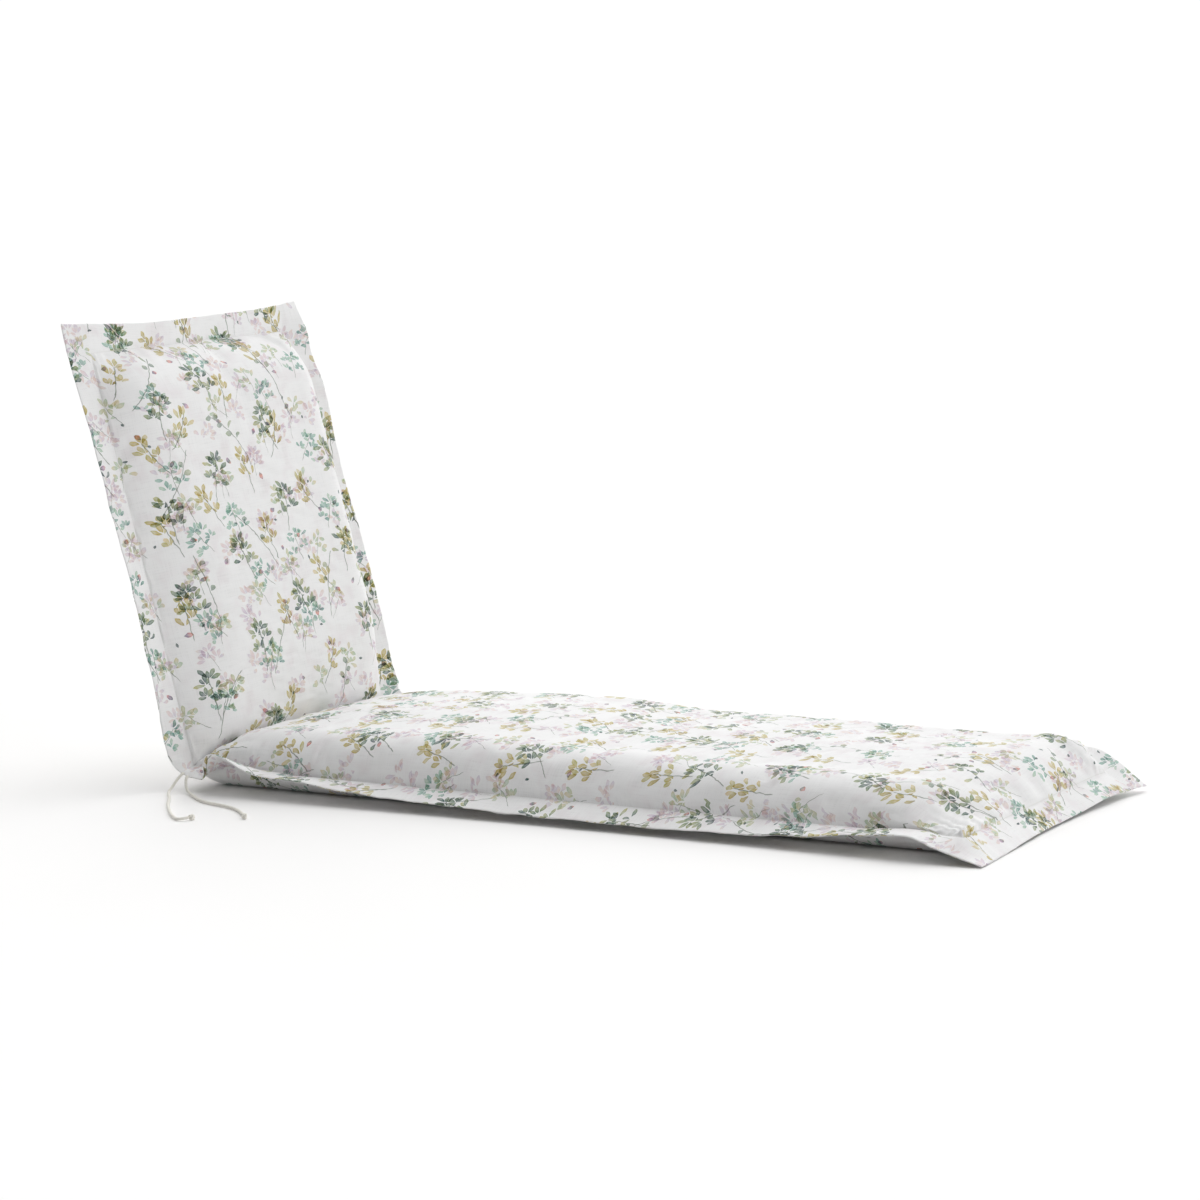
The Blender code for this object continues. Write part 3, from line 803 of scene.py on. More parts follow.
# Inks of the print, on a screen's scale of 0 to 255, each row from dark to pale
SLATE_INKS = (
    (50, 72, 78), (80, 108, 104), (112, 138, 114), (150, 166, 124), (186, 190, 144), (208, 200, 136),
)
MINT_INKS = ((78, 128, 126), (122, 168, 156), (158, 198, 184), (180, 208, 186), (204, 220, 204))
OCHRE_INKS = (
    (146, 128, 48), (186, 166, 62), (206, 186, 96), (190, 184, 104), (224, 208, 148), (232, 206, 162),
)
OLIVE_INKS = ((186, 194, 150), (208, 208, 164), (184, 206, 180), (224, 214, 172), (230, 222, 198))
BLUSH_INKS = ((230, 206, 210), (240, 220, 208), (218, 208, 224), (236, 212, 214), (240, 226, 212))
LILAC_INKS = ((190, 170, 200), (220, 200, 218), (232, 206, 208), (212, 202, 220), (234, 220, 204))
DEEP_INKS = ((66, 82, 96), (128, 92, 134), (236, 146, 124), (72, 96, 88), (192, 150, 186), (240, 172, 138))

# A plant is a bent stem with tufts of leaves: one at its top, and pairs on both sides of it. Each
# has its place across and up from the stem's top and the size of its leaves.
Plant = namedtuple(
    "Plant",
    "name seed cell raised shift turn bend stem stem_width tufts sectors open"
    " leaf leaf_width soft full kept strength inks",
)
PLANTS = (
    Plant("blush_plants", 11, (0.076, 0.086), 0.008, 0.010, 1.0, 0.6, 0.0, 0.0,
          ((0.000, 0.000, 1.00), (0.007, -0.015, 0.90)), 9, 1.9,
          0.0170, 0.0066, 0.0010, 0.84, 0.96, 0.70, BLUSH_INKS),
    Plant("lilac_plants", 17, (0.086, 0.102), 0.010, 0.015, 0.8, 0.6, 0.036, 0.0004,
          ((0.000, 0.000, 1.00), (0.007, -0.016, 0.90)), 9, 1.7,
          0.0165, 0.0058, 0.0008, 0.82, 0.86, 0.64, LILAC_INKS),
    Plant("olive_plants", 23, (0.084, 0.097), 0.010, 0.014, 0.8, 0.6, 0.038, 0.0005,
          ((0.000, 0.000, 1.00), (0.007, -0.017, 0.85)), 8, 1.6,
          0.0160, 0.0062, 0.0006, 0.78, 0.92, 0.84, OLIVE_INKS),
    Plant("mint_plants", 37, (0.098, 0.116), 0.014, 0.017, 0.7, 0.6, 0.044, 0.0006,
          ((0.000, 0.000, 1.00), (0.010, -0.013, 0.95), (0.012, -0.030, 0.85)), 9, 1.7,
          0.0135, 0.0054, 0.0005, 0.84, 0.70, 0.88, MINT_INKS),
    Plant("ochre_plants", 41, (0.090, 0.124), 0.022, 0.017, 0.5, 0.9, 0.060, 0.0009,
          ((0.000, 0.000, 1.00), (0.005, -0.015, 1.00), (0.006, -0.034, 0.95)), 9, 1.35,
          0.0180, 0.0066, 0.0005, 0.92, 0.84, 0.86, OCHRE_INKS),
    Plant("slate_plants", 59, (0.102, 0.134), 0.022, 0.020, 0.45, 0.9, 0.066, 0.0009,
          ((0.000, 0.000, 1.00), (0.006, -0.015, 0.95), (0.009, -0.034, 0.90)), 9, 1.45,
          0.0180, 0.0064, 0.0005, 0.88, 0.76, 0.95, SLATE_INKS),
)
Sprig = namedtuple(
    "Sprig",
    "name seed cell shift turn bend reach bare pitch"
    " leaf leaf_width apart spread soft full kept strength stem inks",
)
LONG_STEMS = Sprig("long_stems", 71, (0.118, 0.163), 0.012, 0.7, 0.016, 0.058, 0.35, 0.0210,
                   0.0135, 0.0086, 0.005, 1.15, 0.0006, 0.62, 0.66, 0.80, 0.0009, SLATE_INKS[1:5])
Leaves = namedtuple("Leaves", "name seed cell shift leaf leaf_width soft kept strength inks")
STREWN = (
    Leaves("strewn_leaves", 97, (0.050, 0.062), 0.012, 0.0130, 0.0068, 0.0006, 0.30, 0.85, DEEP_INKS),
    Leaves("seeds", 101, (0.038, 0.049), 0.010, 0.0078, 0.0036, 0.0004, 0.15, 0.90, SLATE_INKS[:2]),
)
PRINT_TRUE_AT = (-0.35, 0.45)  # places along the pads where the map's own distance along is exact
UNDER_PRINT_AWAY = (2.0, 0.31)  # how far from the face cloth's print the under cloth's is taken
HEM_PRINT = 1.002  # a hem's lower edge is this much farther out on the map, so that it has a width
PRINT_WIDER = 1.25  # how much wider the print's motifs are than they would be drawn upright
STEM_INK = (122, 132, 116)
THREAD_TONES = ((238, 238, 238), (246, 246, 246), (255, 255, 255), (255, 255, 255), (255, 255, 255))
FAINT_STAINS = ((255, 255, 255), (255, 255, 255), (255, 255, 255), (250, 247, 248), (247, 249, 245))
FIBRE_TONES = ((234, 230, 221), (248, 246, 240), (254, 253, 249))
TWIST_TONES = ((236, 234, 228), (255, 255, 255))
FLOOR_TONES = ((252, 252, 252), (255, 255, 255))
RAGGED = 0.0030  # how far the print's edges stray
RAGGED_SPOTS, WASH_SPOTS, STAIN_SPOTS = 95.0, 130.0, 26.0  # in a metre
WASH_CHANGE = 0.9  # how much the wash changes from place to place
WASH_MEAN = 0.42  # what is taken off it for that
DROP = 0.382  # how much lower each column of a repeat starts, as a share of its height
LEAF_SIZES = (0.50, 0.60)  # share of its full size that a leaf gets by chance, and its least
SPRIG_SIZES = (0.55, 0.60)  # the same on a long stem
LEAF_FORM = (0.56, 0.72)  # how a leaf widens towards its tip, and its width at its foot
LEAF_ENDS = (-0.2, 1.2)  # the form is worked out this far past a leaf's foot and tip
WASH_POOL = 0.0026  # how far from its edge a leaf's wash is thinnest
POOL_SHARE = 0.25  # how much thinner it is there
INK_SPREAD = (0.66, 0.42, 0.06)  # of a leaf's ink: by chance, towards its tip, and what is taken off
STEM_EASE = 0.004  # length over which a stem starts and ends
STEM_SHARE = 0.75  # how strong a stem's ink is beside a leaf's
TUFT_STEP = 0.007  # how much higher the right tuft of a pair sits
LEAF_SWING = 0.45  # how far a leaf turns from its even place in a tuft
LEAF_GAP = (0.0005, 0.004)  # from a tuft's middle to a leaf's foot: at least, and more by chance
WEAVE_PITCH = 0.00046
THREAD_SPOTS = (620.0, 26.0, 22.0)  # thick threads in a metre, and how often one changes along its run
WEAVE_SHARE = 0.25  # how much of the relief is the plain weave and not thick threads
WEAVE_RELIEF = (0.5, 0.00028)  # strength and depth
FIBRE_SPOTS = (42.0, 320.0)  # of the cord in a metre, round it and along it
SOIL_SPOTS = 60.0
SOIL_SHARE = 0.3  # how much of the cord's mottle is soil and not fibre
FIBRE_RELIEF = (0.7, 0.0003)
TWIST_SPOTS = 2400.0  # of the sewing thread in a metre
FLOOR_SPOTS = 3.0


def start_motif(name):
    """A node group that lays one kind of motif over the ink that it is given."""
    tree = bpy.data.node_groups.new(name, "ShaderNodeTree")
    for socket in ("Across", "Along", "Wash"):
        tree.interface.new_socket(socket, in_out="INPUT", socket_type="NodeSocketFloat")
    tree.interface.new_socket("Ink", in_out="INPUT", socket_type="NodeSocketColor")
    tree.interface.new_socket("Ink", in_out="OUTPUT", socket_type="NodeSocketColor")
    given = tree.nodes.new("NodeGroupInput")
    across, along, wash = (Number(tree, given.outputs[k]) for k in range(3))
    return tree, across, along, wash, given.outputs[3]


def end_motif(tree, ink):
    out = tree.nodes.new("NodeGroupOutput")
    tree.links.new(ink, out.inputs[0])
    return tree


def in_cell(tree, across, along, look):
    """Place of a point in its cell of a dropped repeat, and four random numbers of the cell."""
    width, height = look.cell
    start = look.seed * 0.137
    column = (across / width + start).to("FLOOR")
    fallen = along + (column * DROP).to("FRACT") * height
    row = (fallen / height).to("FLOOR")
    luck = chances(tree, column, row, look.seed, 0.5)
    x = across - (column + (0.5 - start)) * width + (luck[0] - 0.5) * (2 * look.shift)
    y = (row + 0.5) * height - fallen + (luck[1] - 0.5) * (2 * look.shift)
    return x, y, column, row, luck


def turned_by(x, y, angle):
    cosine, sine = angle.to("COSINE"), angle.to("SINE")
    return x * cosine - y * sine, x * sine + y * cosine


def by_chance(luck, more, least):
    return luck * more + least


def leaf(tree, ink, look, along, across, size, luck, present, wash):
    """Lays one leaf over the ink. Along and across are from its foot, in metres."""
    place = (along / size).to("MINIMUM", LEAF_ENDS[1]).to("MAXIMUM", LEAF_ENDS[0])
    half = place * (1 - place) * (place * LEAF_FORM[0] + LEAF_FORM[1]) * (2 * look.leaf_width)
    depth = half - across.to("ABSOLUTE")
    edge = eased(depth, -0.00015, look.soft)
    pool = eased(depth, look.soft * 0.5, WASH_POOL)
    strength = present * edge * (1 - pool * POOL_SHARE) * (wash * look.strength)
    chance_share, tip_share, less = INK_SPREAD
    colour = from_inks(tree, look.inks, luck * chance_share + place * tip_share - less)
    return laid_over(tree, ink, colour, strength)


def stem_line(tree, ink, beside, up, width, low, high, present, wash):
    """Lays a thin stem over the ink, from one height to the other."""
    line = eased(beside.to("ABSOLUTE") * -1.0, -1.1 * width, -0.25 * width)
    ends = eased(up, low, low + STEM_EASE) * eased(up * -1.0, -high, STEM_EASE - high)
    return laid_over(tree, ink, (*linear(STEM_INK), 1), line * ends * present * wash * STEM_SHARE)


def plant_motif(look):
    """A bent stem with tufts of leaves, in each cell, turned to the left in some of them."""
    tree, across, along, wash, ink = start_motif(look.name)
    x, y, column, row, luck = in_cell(tree, across, along, look)
    x, y = turned_by(x, y - look.raised, (luck[2] - 0.5) * (2 * look.turn))
    x = x * (luck[1].to("LESS_THAN", 0.5) * 2.0 - 1.0)
    x = x - y * y * ((luck[3] - 0.3) * (8 * look.bend))
    grown = luck[0].to("LESS_THAN", look.kept)
    if look.stem:
        ink = stem_line(tree, ink, x, y, look.stem_width, -look.stem, STEM_EASE, grown, wash)
    wide = 2 * math.pi / look.sectors
    side = x.to("GREATER_THAN", 0.0)
    for number, (tuft_across, tuft_up, share) in enumerate(look.tufts):
        beside, up = x, y - tuft_up
        if tuft_across:
            beside, up = x.to("ABSOLUTE") - tuft_across, up - side * TUFT_STEP
        angle = beside.to("ARCTAN2", up)
        sector = (angle / wide + 0.5).to("FLOOR")
        half = side if tuft_across else 0.0
        chance = chances(tree, column, row + half * 0.5, look.seed + 0.37 * number, sector)
        turn = angle - (sector + (chance[1] - 0.5) * LEAF_SWING) * wide
        distance = (beside * beside + up * up).to("SQRT")
        leaf_along = distance * turn.to("COSINE") - LEAF_GAP[0] - chance[3] * LEAF_GAP[1]
        leaf_across = distance * turn.to("SINE")
        size = by_chance(chance[2], *LEAF_SIZES) * (look.leaf * share)
        open_here = (sector * wide).to("ABSOLUTE").to("LESS_THAN", look.open)
        present = chance[3].to("LESS_THAN", look.full) * open_here * grown
        ink = leaf(tree, ink, look, leaf_along, leaf_across, size, chance[0], present, wash)
    return end_motif(tree, ink)


def sprig_motif(look):
    """A bent stem with leaves on both sides, in each cell."""
    tree, across, along, wash, ink = start_motif(look.name)
    x, y, column, row, luck = in_cell(tree, across, along, look)
    x, y = turned_by(x, y, (luck[2] - 0.5) * (2 * look.turn))
    bend = (luck[3] - 0.5) * (2 * look.bend / look.reach**2)
    x = x - bend * y * y
    y = y + 0.25 * look.reach * look.bare
    grown = luck[0].to("LESS_THAN", look.kept)
    side = x.to("GREATER_THAN", 0.0)
    beside = x.to("ABSOLUTE")
    ink = stem_line(tree, ink, x, y, look.stem, -look.reach, look.reach * 0.9, grown, wash)
    offset = side * (look.pitch * 0.5)
    first = ((y + offset) / look.pitch).to("FLOOR")
    for back in (0, 1):
        index = first - back if back else first
        foot = index * look.pitch - offset
        chance = chances(tree, column + side * 0.5, row, look.seed, index)
        size = by_chance(chance[1], *SPRIG_SIZES) * look.leaf
        height = foot / look.reach
        angle = (chance[2] * 0.9 + 0.55) * (look.spread - height * (0.42 * look.spread))
        cosine, sine = angle.to("COSINE"), angle.to("SINE")
        rise = y - foot
        leaf_along = beside * sine + rise * cosine - chance[3] * look.apart
        leaf_across = beside * cosine - rise * sine
        here = height.to("LESS_THAN", 0.9) * height.to("GREATER_THAN", -look.bare)
        present = chance[3].to("LESS_THAN", look.full) * here * grown
        ink = leaf(tree, ink, look, leaf_along, leaf_across, size, chance[0], present, wash)
    return end_motif(tree, ink)


def strewn_motif(look):
    """At most one loose leaf in each cell."""
    tree, across, along, wash, ink = start_motif(look.name)
    x, y, column, row, luck = in_cell(tree, across, along, look)
    x, y = turned_by(x, y, (luck[2] - 0.5) * 5.0)
    size = by_chance(luck[3], *LEAF_SIZES) * look.leaf
    present = chances(tree, column, row, look.seed, 2.5)[0].to("LESS_THAN", look.kept)
    ink = leaf(tree, ink, look, y + size * 0.5, x, size, luck[0], present, wash)
    return end_motif(tree, ink)


MOTIF_OF = {Plant: plant_motif, Sprig: sprig_motif, Leaves: strewn_motif}


def new_material(name, values):
    """A material with these even values on its shader's sockets, its nodes and its shader."""
    made = bpy.data.materials.new(name)
    made.use_nodes = True
    surface = made.node_tree.nodes["Principled BSDF"]
    for socket, value in values.items():
        surface.inputs[socket].default_value = value
    return made, made.node_tree, surface


def relief(tree, surface, height, strength, distance):
    """Gives the surface a relief of this height."""
    bump = tree.nodes.new("ShaderNodeBump")
    bump.inputs["Strength"].default_value = strength
    bump.inputs["Distance"].default_value = distance
    feed(tree, bump.inputs["Height"], height)
    tree.links.new(bump.outputs[0], surface.inputs["Normal"])


def noise(tree, vector, scale, detail=2.0, kind="2D"):
    node = tree.nodes.new("ShaderNodeTexNoise")
    node.noise_dimensions = kind
    tree.links.new(vector, node.inputs["Vector"])
    node.inputs["Scale"].default_value = scale
    node.inputs["Detail"].default_value = detail
    return node


def spots_of(tree, vector, scale, detail=2.0, kind="2D"):
    """Soft random spots, this many in a metre, as a number from 0 to 1."""
    return Number(tree, noise(tree, vector, scale, detail, kind).outputs[0])


def cloth_place(tree):
    """Across and along the cloth, in metres, from the piece's own map."""
    source = tree.nodes.new("ShaderNodeUVMap")
    source.uv_map = "cloth"
    parts = tree.nodes.new("ShaderNodeSeparateXYZ")
    tree.links.new(source.outputs[0], parts.inputs[0])
    return source.outputs[0], Number(tree, parts.outputs[0]), Number(tree, parts.outputs[1])


def printed_cotton(settings):
    """White plain-weave cotton with leaf sprigs printed on it in thin inks."""
    values = {"Roughness": 0.86, "Specular IOR Level": 0.25, "Sheen Weight": 0.12, "Sheen Roughness": 0.5}
    made, tree, surface = new_material("printed cotton", values)
    place, across, along = cloth_place(tree)
    ragged = tree.nodes.new("ShaderNodeSeparateColor")
    tree.links.new(noise(tree, place, RAGGED_SPOTS, 1.0).outputs["Color"], ragged.inputs[0])
    print_across, print_along = (
        part + (Number(tree, shift) - 0.5) * RAGGED
        for part, shift in zip((across / PRINT_WIDER, along), ragged.outputs)
    )
    wash = spots_of(tree, place, WASH_SPOTS) * WASH_CHANGE + (settings.print_strength - WASH_MEAN)
    ink = from_inks(tree, FAINT_STAINS, spots_of(tree, place, STAIN_SPOTS))
    for look in (*PLANTS[:-1], LONG_STEMS, STREWN[0], PLANTS[-1], STREWN[1]):
        node = tree.nodes.new("ShaderNodeGroup")
        node.node_tree = MOTIF_OF[type(look)](look)
        for socket, value in zip(node.inputs, (print_across, print_along, wash, ink)):
            feed(tree, socket, value)
        ink = node.outputs[0]
    threads = weave(tree, surface, across, along)
    colour = laid_over(tree, (*settings.cotton, 1), from_inks(tree, THREAD_TONES, threads), 1.0)
    tree.links.new(laid_over(tree, colour, ink, 1.0), surface.inputs["Base Color"])
    return made


def weave(tree, surface, across, along):
    """A plain weave with a few thicker threads: gives its relief, and how thick they are from 0 to 1."""
    turn = 2 * math.pi / WEAVE_PITCH
    knit = (across * turn).to("SINE") * (along * turn).to("SINE")
    thin, weft_run, warp_run = THREAD_SPOTS
    thick_weft, thick_warp = (
        spots_of(tree, vector_of(tree, across * wide, along * high), 1.0, 1.0)
        for wide, high in ((weft_run, thin), (thin, warp_run))
    )
    relief(tree, surface, knit * WEAVE_SHARE + thick_weft + thick_warp, *WEAVE_RELIEF)
    return (thick_weft + thick_warp) * 0.5


def cord_cotton(settings):
    """Undyed twisted cotton: pale strands with their fibres running round them."""
    values = {"Roughness": 0.9, "Specular IOR Level": 0.2, "Sheen Weight": 0.2}
    made, tree, surface = new_material("cord cotton", values)
    place, around, along = cloth_place(tree)
    fibre = spots_of(tree, vector_of(tree, around * FIBRE_SPOTS[0], along * FIBRE_SPOTS[1]), 1.0, 3.0)
    soil = spots_of(tree, place, SOIL_SPOTS)
    shade = from_inks(tree, FIBRE_TONES, fibre * (1 - SOIL_SHARE) + soil * SOIL_SHARE)
    tint = laid_over(tree, (*settings.cord_colour, 1), shade, 1.0)
    tree.links.new(tint, surface.inputs["Base Color"])
    relief(tree, surface, fibre, *FIBRE_RELIEF)
    return made


def mottled(name, values, colour, tones, spots, detail):
    """A material of one colour with a faint mottle of these tones, so that it isn't dead flat."""
    made, tree, surface = new_material(name, values)
    place = tree.nodes.new("ShaderNodeTexCoord").outputs["Object"]
    shade = from_inks(tree, tones, spots_of(tree, place, spots, detail, "3D"))
    tree.links.new(laid_over(tree, (*colour, 1), shade, 1.0), surface.inputs["Base Color"])
    return made


def sewing_thread(settings):
    """White twisted thread."""
    values = {"Roughness": 0.55, "Sheen Weight": 0.15}
    return mottled("sewing thread", values, settings.thread, TWIST_TONES, TWIST_SPOTS, 1.0)


def floor_material(settings):
    values = {"Roughness": 0.9, "Specular IOR Level": 0.2}
    return mottled("floor", values, settings.floor, FLOOR_TONES, FLOOR_SPOTS, 3.0)


def smooth_route(points, step):
    """Points at about this step on a smooth curve through the given ones."""
    points = np.array(points, float)
    before = points[np.maximum(np.arange(len(points)) - 1, 0)]
    after = points[np.minimum(np.arange(len(points)) + 1, len(points) - 1)]
    lean = (after - before) / 2
    route = []
    for i in range(len(points) - 1):
        pieces = max(1, round(np.linalg.norm(points[i + 1] - points[i]) / step))
        u = (np.arange(pieces) / pieces)[:, None]
        ends = points[i] * (2 * u**3 - 3 * u**2 + 1) + points[i + 1] * (3 * u**2 - 2 * u**3)
        route.append(ends + lean[i] * (u**3 - 2 * u**2 + u) + lean[i + 1] * (u**3 - u**2))
    return np.concatenate(route + [points[-1:]])


def new_piece(name, points, faces):
    data = bpy.data.meshes.new(name)
    data.from_pydata(points.tolist(), [], faces)
    data.shade_smooth()
    obj = bpy.data.objects.new(name, data)
    bpy.context.scene.collection.objects.link(obj)
    return obj


def tube(name, route, radius, sides, strands=0, closed=False):
    """A mesh tube along a route. With strands it is a twisted cord with a furrow between them."""
    route = np.array(route, float)
    ahead = np.roll(route, -1, axis=0) - np.roll(route, 1, axis=0)
    if not closed:
        ahead = np.gradient(route, axis=0)
    ahead = unit(ahead)
    side = np.zeros_like(route)
    side[0] = unit(np.cross(ahead[0], (0.3, 0.2, 1.0)))
    for k in range(1, len(route)):
        side[k] = unit(side[k - 1] - ahead[k] * np.dot(side[k - 1], ahead[k]))
    third = np.cross(ahead, side)
    steps = np.linalg.norm(np.diff(route, axis=0), axis=1)
    run = np.concatenate([[0], np.cumsum(steps)])
    angle = np.arange(sides) / sides * 2 * math.pi
    sizes = np.broadcast_to(radius, len(route))
    girth = np.ones((len(route), sides))
    if strands:
        twist = run[:, None] / TWIST_LENGTH * 2 * math.pi
        girth = 1 - FURROW + FURROW * abs(np.cos(strands / 2 * (angle[None, :] - twist)))
    reach = girth * sizes[:, None]
    rings = (
        route[:, None, :]
        + side[:, None, :] * (np.cos(angle) * reach)[..., None]
        + third[:, None, :] * (np.sin(angle) * reach)[..., None]
    )
    count = len(route)
    last = count if closed else count - 1
    faces, runs = [], []
    for k in range(last):
        for j in range(sides):
            after, beside = (k + 1) % count, (j + 1) % sides
            faces.append((k * sides + j, k * sides + beside, after * sides + beside, after * sides + j))
            runs += [(j / sides, k), ((j + 1) / sides, k), ((j + 1) / sides, k + 1), (j / sides, k + 1)]
    if not closed:
        faces += [tuple(range(sides))[::-1], tuple((count - 1) * sides + j for j in range(sides))]
        runs += [(0, 0)] * (2 * sides)
    obj = new_piece(name, rings.reshape(-1, 3), faces)
    layer = obj.data.uv_layers.new(name="cloth")
    full = np.concatenate([run, [run[-1] + steps[-1]]])
    girdle = 2 * math.pi * float(np.max(sizes))
    places = np.array([(around * girdle, full[min(k, count)]) for around, k in runs])
    layer.data.foreach_set("uv", places.ravel())
    return obj


def finished(obj, name, material):
    """Names a piece, gives it its finish and lets it go with the object's one body."""
    obj.name = name
    obj.data.name = name
    obj.data.materials.clear()
    obj.data.materials.append(material)
    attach(obj, "root")
    return obj


def settings_of(cls):
    """The settings of the scene that hold this group of sizes or colours."""
    return getattr(bpy.context.scene, cls.kept_as)


class CoverSettings(bpy.types.PropertyGroup):
    kept_as = "lounger_cover"

    cloth: bpy.props.FloatProperty(
        name="Flange thickness",
        description="Both cloths of the flange together, with their turned hem",
        default=0.0024,
        min=0.001,
        unit="LENGTH",
    )
    cotton: bpy.props.FloatVectorProperty(
        name="Cotton",
        description="Colour of the cloth where nothing is printed",
        default=(0.915, 0.915, 0.915),
        subtype="COLOR",
        size=3,
    )
    print_strength: bpy.props.FloatProperty(
        name="Print strength",
        description="How much of its full colour the print has",
        default=1.0,
        min=0.0,
        subtype="FACTOR",
    )
    stitch_length: bpy.props.FloatProperty(
        name="Stitch",
        description="Length of a stitch with its gap",
        default=0.0036,
        min=0.001,
        unit="LENGTH",
    )
    thread: bpy.props.FloatVectorProperty(
        name="Thread",
        description="Colour of the sewing thread",
        default=(0.89, 0.89, 0.88),
        subtype="COLOR",
        size=3,
    )


class TieSettings(bpy.types.PropertyGroup):
    kept_as = "lounger_tie"

    cord: bpy.props.FloatProperty(
        name="Cord",
        description="Diameter of the tie's cord",
        default=0.0045,
        min=0.001,
        unit="LENGTH",
    )
    strands: bpy.props.IntProperty(
        name="Strands",
        description="Strands twisted into the cord",
        default=3,
        min=2,
    )
    cord_colour: bpy.props.FloatVectorProperty(
        name="Cord colour",
        description="Colour of the undyed cotton cord",
        default=(0.93, 0.925, 0.90),
        subtype="COLOR",
        size=3,
    )


class StudioSettings(bpy.types.PropertyGroup):
    kept_as = "lounger_studio"

    floor: bpy.props.FloatVectorProperty(
        name="Floor",
        description="Colour of the plain floor",
        default=(0.97, 0.965, 0.96),
        subtype="COLOR",
        size=3,
    )
    sky: bpy.props.FloatProperty(
        name="Room light",
        description="Brightness of the light from all round",
        default=0.50,
        min=0.0,
    )
    key: bpy.props.FloatProperty(
        name="Key light",
        description="Strength of the light from above",
        default=2.02,
        min=0.0,
    )
    fill: bpy.props.FloatProperty(
        name="Fill light",
        description="Strength of the light on the face of the back",
        default=0.70,
        min=0.0,
    )
    softness: bpy.props.FloatProperty(
        name="Softness",
        description="How wide both lights are, as an angle",
        default=math.radians(75),
        min=0.0,
        subtype="ANGLE",
    )


class LOUNGER_OT_camera(bpy.types.Operator):
    """Sets up the camera at the photograph's view"""

    bl_idname = "lounger.camera"
    bl_label = "Camera"

    def execute(self, context):
        turn, down, roll = CAMERA_TURN, CAMERA_DOWN, CAMERA_ROLL
        look = Vector((-math.sin(turn) * math.cos(down), math.cos(turn) * math.cos(down), -math.sin(down)))
        right = Vector((math.cos(turn), math.sin(turn), 0))
        up = right.cross(look)
        rolled_right = right * math.cos(roll) + up * math.sin(roll)
        rolled_up = up * math.cos(roll) - right * math.sin(roll)
        data = bpy.data.cameras.new("camera")
        data.lens = CAMERA_LENS
        data.sensor_width = CAMERA_SENSOR
        data.sensor_fit = "HORIZONTAL"
        data.dof.use_dof = False
        camera = bpy.data.objects.new("camera", data)
        context.scene.collection.objects.link(camera)
        axes = Matrix((rolled_right, rolled_up, -look)).transposed()
        stands = Vector(CAMERA_FROM_FOLD) + Vector((FOLD_X, 0, 0))
        camera.matrix_world = Matrix.Translation(stands) @ axes.to_4x4()
        context.scene.camera = camera
        return {"FINISHED"}


class LOUNGER_OT_tie(bpy.types.Operator):
    """Makes both free ends of the tie and their knots"""

    bl_idname = "lounger.tie"
    bl_label = "Tie"

    def execute(self, context):
        settings = settings_of(TieSettings)
        material = cord_cotton(settings)
        for side, places in TIE_ENDS.items():
            points = [Vector(place) + Vector((FOLD_X, 0, 0)) for place in places]
            self.strand(side, points, settings, material)
        return {"FINISHED"}

    def strand(self, side, points, settings, material):
        knot = self.knot(side, points, settings, material)
        route = smooth_route(points, ROUTE_STEP)
        cord = tube("cord", route, settings.cord / 2, CORD_SIDES, strands=settings.strands)
        finished(cord, "tie_cord_" + side, material)
        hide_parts("tie_" + side)

    def knot(self, side, points, settings, material):
        """An overhand knot, drawn tight: the cord's way through it is a flattened trefoil."""
        low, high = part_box("knot_" + side)
        centre = (low + high) / 2
        ahead = (points[-1] - points[-2]).to_2d().normalized()
        thick = settings.cord * KNOT_CORD
        half = [size / 2 - thick for size in KNOT]
        t = np.linspace(0, 2 * math.pi, KNOT_STEPS, endpoint=False)
        x = (np.sin(t) + 2 * np.sin(2 * t)) / 3 * half[0]
        y = (np.cos(t) - 2 * np.cos(2 * t)) / 3 * half[1]
        z = -np.sin(3 * t) * half[2]
        route = point(
            centre.x + x * ahead.x - y * ahead.y,
            centre.y + x * ahead.y + y * ahead.x,
            centre.z + z,
        )
        knot = tube("knot", route, thick, KNOT_SIDES, closed=True)
        finished(knot, "tie_knot_" + side, material)
        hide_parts("knot_" + side)
        return knot


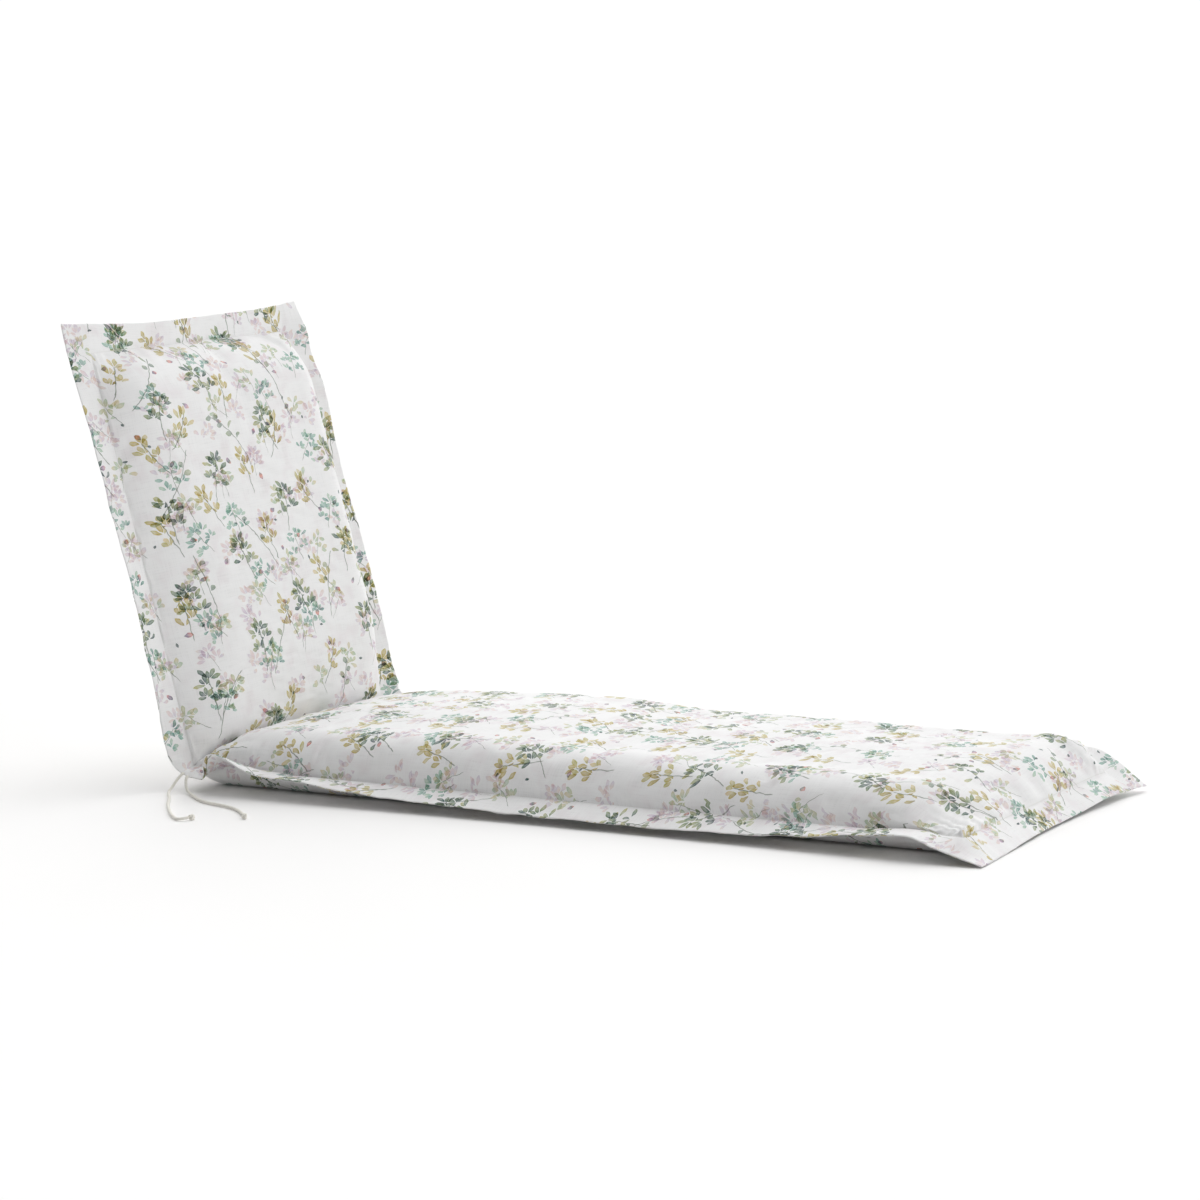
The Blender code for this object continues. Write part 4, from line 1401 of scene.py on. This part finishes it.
class LOUNGER_OT_cushion(bpy.types.Operator):
    """Makes the filled cover with its printed cotton"""

    bl_idname = "lounger.cushion"
    bl_label = "Cushion"

    def execute(self, context):
        settings = settings_of(CoverSettings)
        along, across = cloth_grid()
        obj, row, column, is_face = cloth_mesh("cushion", along, across)
        face, under = shaped_cloths(along, across, settings.cloth)
        face = face + read_grid(*settled(settings.cloth), along, across)
        place_vertices(obj, np.where(is_face[:, None], face[row, column], under[row, column]))
        face_run = run_of_cloth(face, along, across)
        under_run = run_of_cloth(under, along, across)
        print_map(obj, row, column, is_face, face_run, under_run)
        obj.data.shade_smooth()
        finished(obj, "printed_cushion", printed_cotton(settings))
        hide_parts("cushion")
        self.sew(settings, along, across, face, under)
        return {"FINISHED"}

    def sew(self, settings, along, across, face, under):
        """Lays a row of stitches on both cloths: one stitch is modelled and the others are its copies."""
        deselect()
        bpy.ops.mesh.primitive_uv_sphere_add(segments=6, ring_count=4, radius=1)
        stitch = bpy.context.object
        bpy.ops.transform.rotate(value=math.pi / 2, orient_axis="Y", center_override=(0, 0, 0))
        bpy.ops.object.transform_apply()
        stitch.scale = (settings.stitch_length * STITCH_SHARE, STITCH_WIDTH, STITCH_WIDTH * STITCH_HEIGHT)
        bpy.ops.object.transform_apply()
        form = np.array([vertex.co for vertex in stitch.data.vertices])
        form[:, 2] -= STITCH_ENDS * (form[:, 0] / form[:, 0].max()) ** 2
        faces = [list(polygon.vertices) for polygon in stitch.data.polygons]
        bpy.data.objects.remove(stitch)
        at_along, at_across = stitch_line(settings.stitch_length)
        points, polygons = [], []
        for surface in (face, under):
            way_out = square_to(surface)
            centre = read_at(surface, along, across, at_along, at_across)
            out = unit(read_at(way_out, along, across, at_along, at_across))
            if surface is under:
                out = -out
            ahead = unit(np.roll(centre, -1, axis=0) - np.roll(centre, 1, axis=0))
            side = np.cross(out, ahead)
            centre = centre + out * (STITCH_WIDTH * STITCH_STANDS)
            placed = (
                centre[:, None, :]
                + ahead[:, None, :] * form[None, :, :1]
                + side[:, None, :] * form[None, :, 1:2]
                + out[:, None, :] * form[None, :, 2:]
            )
            for k in range(len(centre)):
                first = (len(points) + k) * len(form)
                polygons += [[first + corner for corner in polygon] for polygon in faces]
            points += list(placed)
        rows = new_piece("topstitching", np.concatenate(points), polygons)
        finished(rows, "topstitching", sewing_thread(settings))


class LOUNGER_OT_stage(bpy.types.Operator):
    """Makes the plain floor and its soft light"""

    bl_idname = "lounger.stage"
    bl_label = "Stage"

    def execute(self, context):
        settings = settings_of(StudioSettings)
        deselect()
        bpy.ops.mesh.primitive_plane_add(size=FLOOR_SIZE, location=(0, 0, 0))
        floor = context.object
        floor.name = "floor"
        floor.data.materials.append(floor_material(settings))
        world = bpy.data.worlds.new("room")
        context.scene.world = world
        world.use_nodes = True
        tree = world.node_tree
        seen = Number(tree, tree.nodes.new("ShaderNodeLightPath").outputs["Is Camera Ray"])
        way = tree.nodes.new("ShaderNodeSeparateXYZ")
        tree.links.new(tree.nodes.new("ShaderNodeTexCoord").outputs["Generated"], way.inputs[0])
        room = (Number(tree, way.outputs[1]) * NEAR_DIMMER + 1.0) * settings.sky
        strength = seen * BACKGROUND + (1.0 - seen) * room
        feed(tree, tree.nodes["Background"].inputs["Strength"], strength)
        tree.nodes["Background"].inputs["Color"].default_value = (1, 1, 1, 1)
        self.lamp("soft key", KEY_FROM, settings.key, settings.softness)
        self.lamp("fill", FILL_FROM, settings.fill, settings.softness)
        context.scene.view_settings.view_transform = "Standard"
        context.scene.view_settings.look = "None"
        return {"FINISHED"}

    def lamp(self, name, stands, strength, softness):
        data = bpy.data.lights.new(name, "SUN")
        data.energy = strength
        data.angle = softness
        lamp = bpy.data.objects.new(name, data)
        bpy.context.scene.collection.objects.link(lamp)
        lamp.rotation_euler = Vector(stands).to_track_quat("Z", "Y").to_euler()


STEPS = (LOUNGER_OT_camera, LOUNGER_OT_tie, LOUNGER_OT_cushion, LOUNGER_OT_stage)
SETTINGS = (CoverSettings, TieSettings, StudioSettings)


class LOUNGER_PT_pieces(bpy.types.Panel):
    """Lists the pieces of the cushion and their settings"""

    bl_label = "Sun lounger cushion"
    bl_space_type = "VIEW_3D"
    bl_region_type = "UI"
    bl_category = "Lounger"

    def draw(self, context):
        for group in SETTINGS:
            box = self.layout.box()
            for name in group.__annotations__:
                box.prop(getattr(context.scene, group.kept_as), name)
        for step in STEPS:
            self.layout.operator(step.bl_idname)


def register():
    for cls in (*SETTINGS, *STEPS, LOUNGER_PT_pieces):
        bpy.utils.register_class(cls)
    for group in SETTINGS:
        setattr(bpy.types.Scene, group.kept_as, bpy.props.PointerProperty(type=group))


def unregister():
    for group in SETTINGS:
        delattr(bpy.types.Scene, group.kept_as)
    for cls in reversed((*SETTINGS, *STEPS, LOUNGER_PT_pieces)):
        bpy.utils.unregister_class(cls)


def main():
    register()
    bpy.ops.lounger.camera()
    bpy.ops.lounger.tie()
    bpy.ops.lounger.cushion()
    bpy.ops.lounger.stage()


if __name__ == "__main__":
    main()
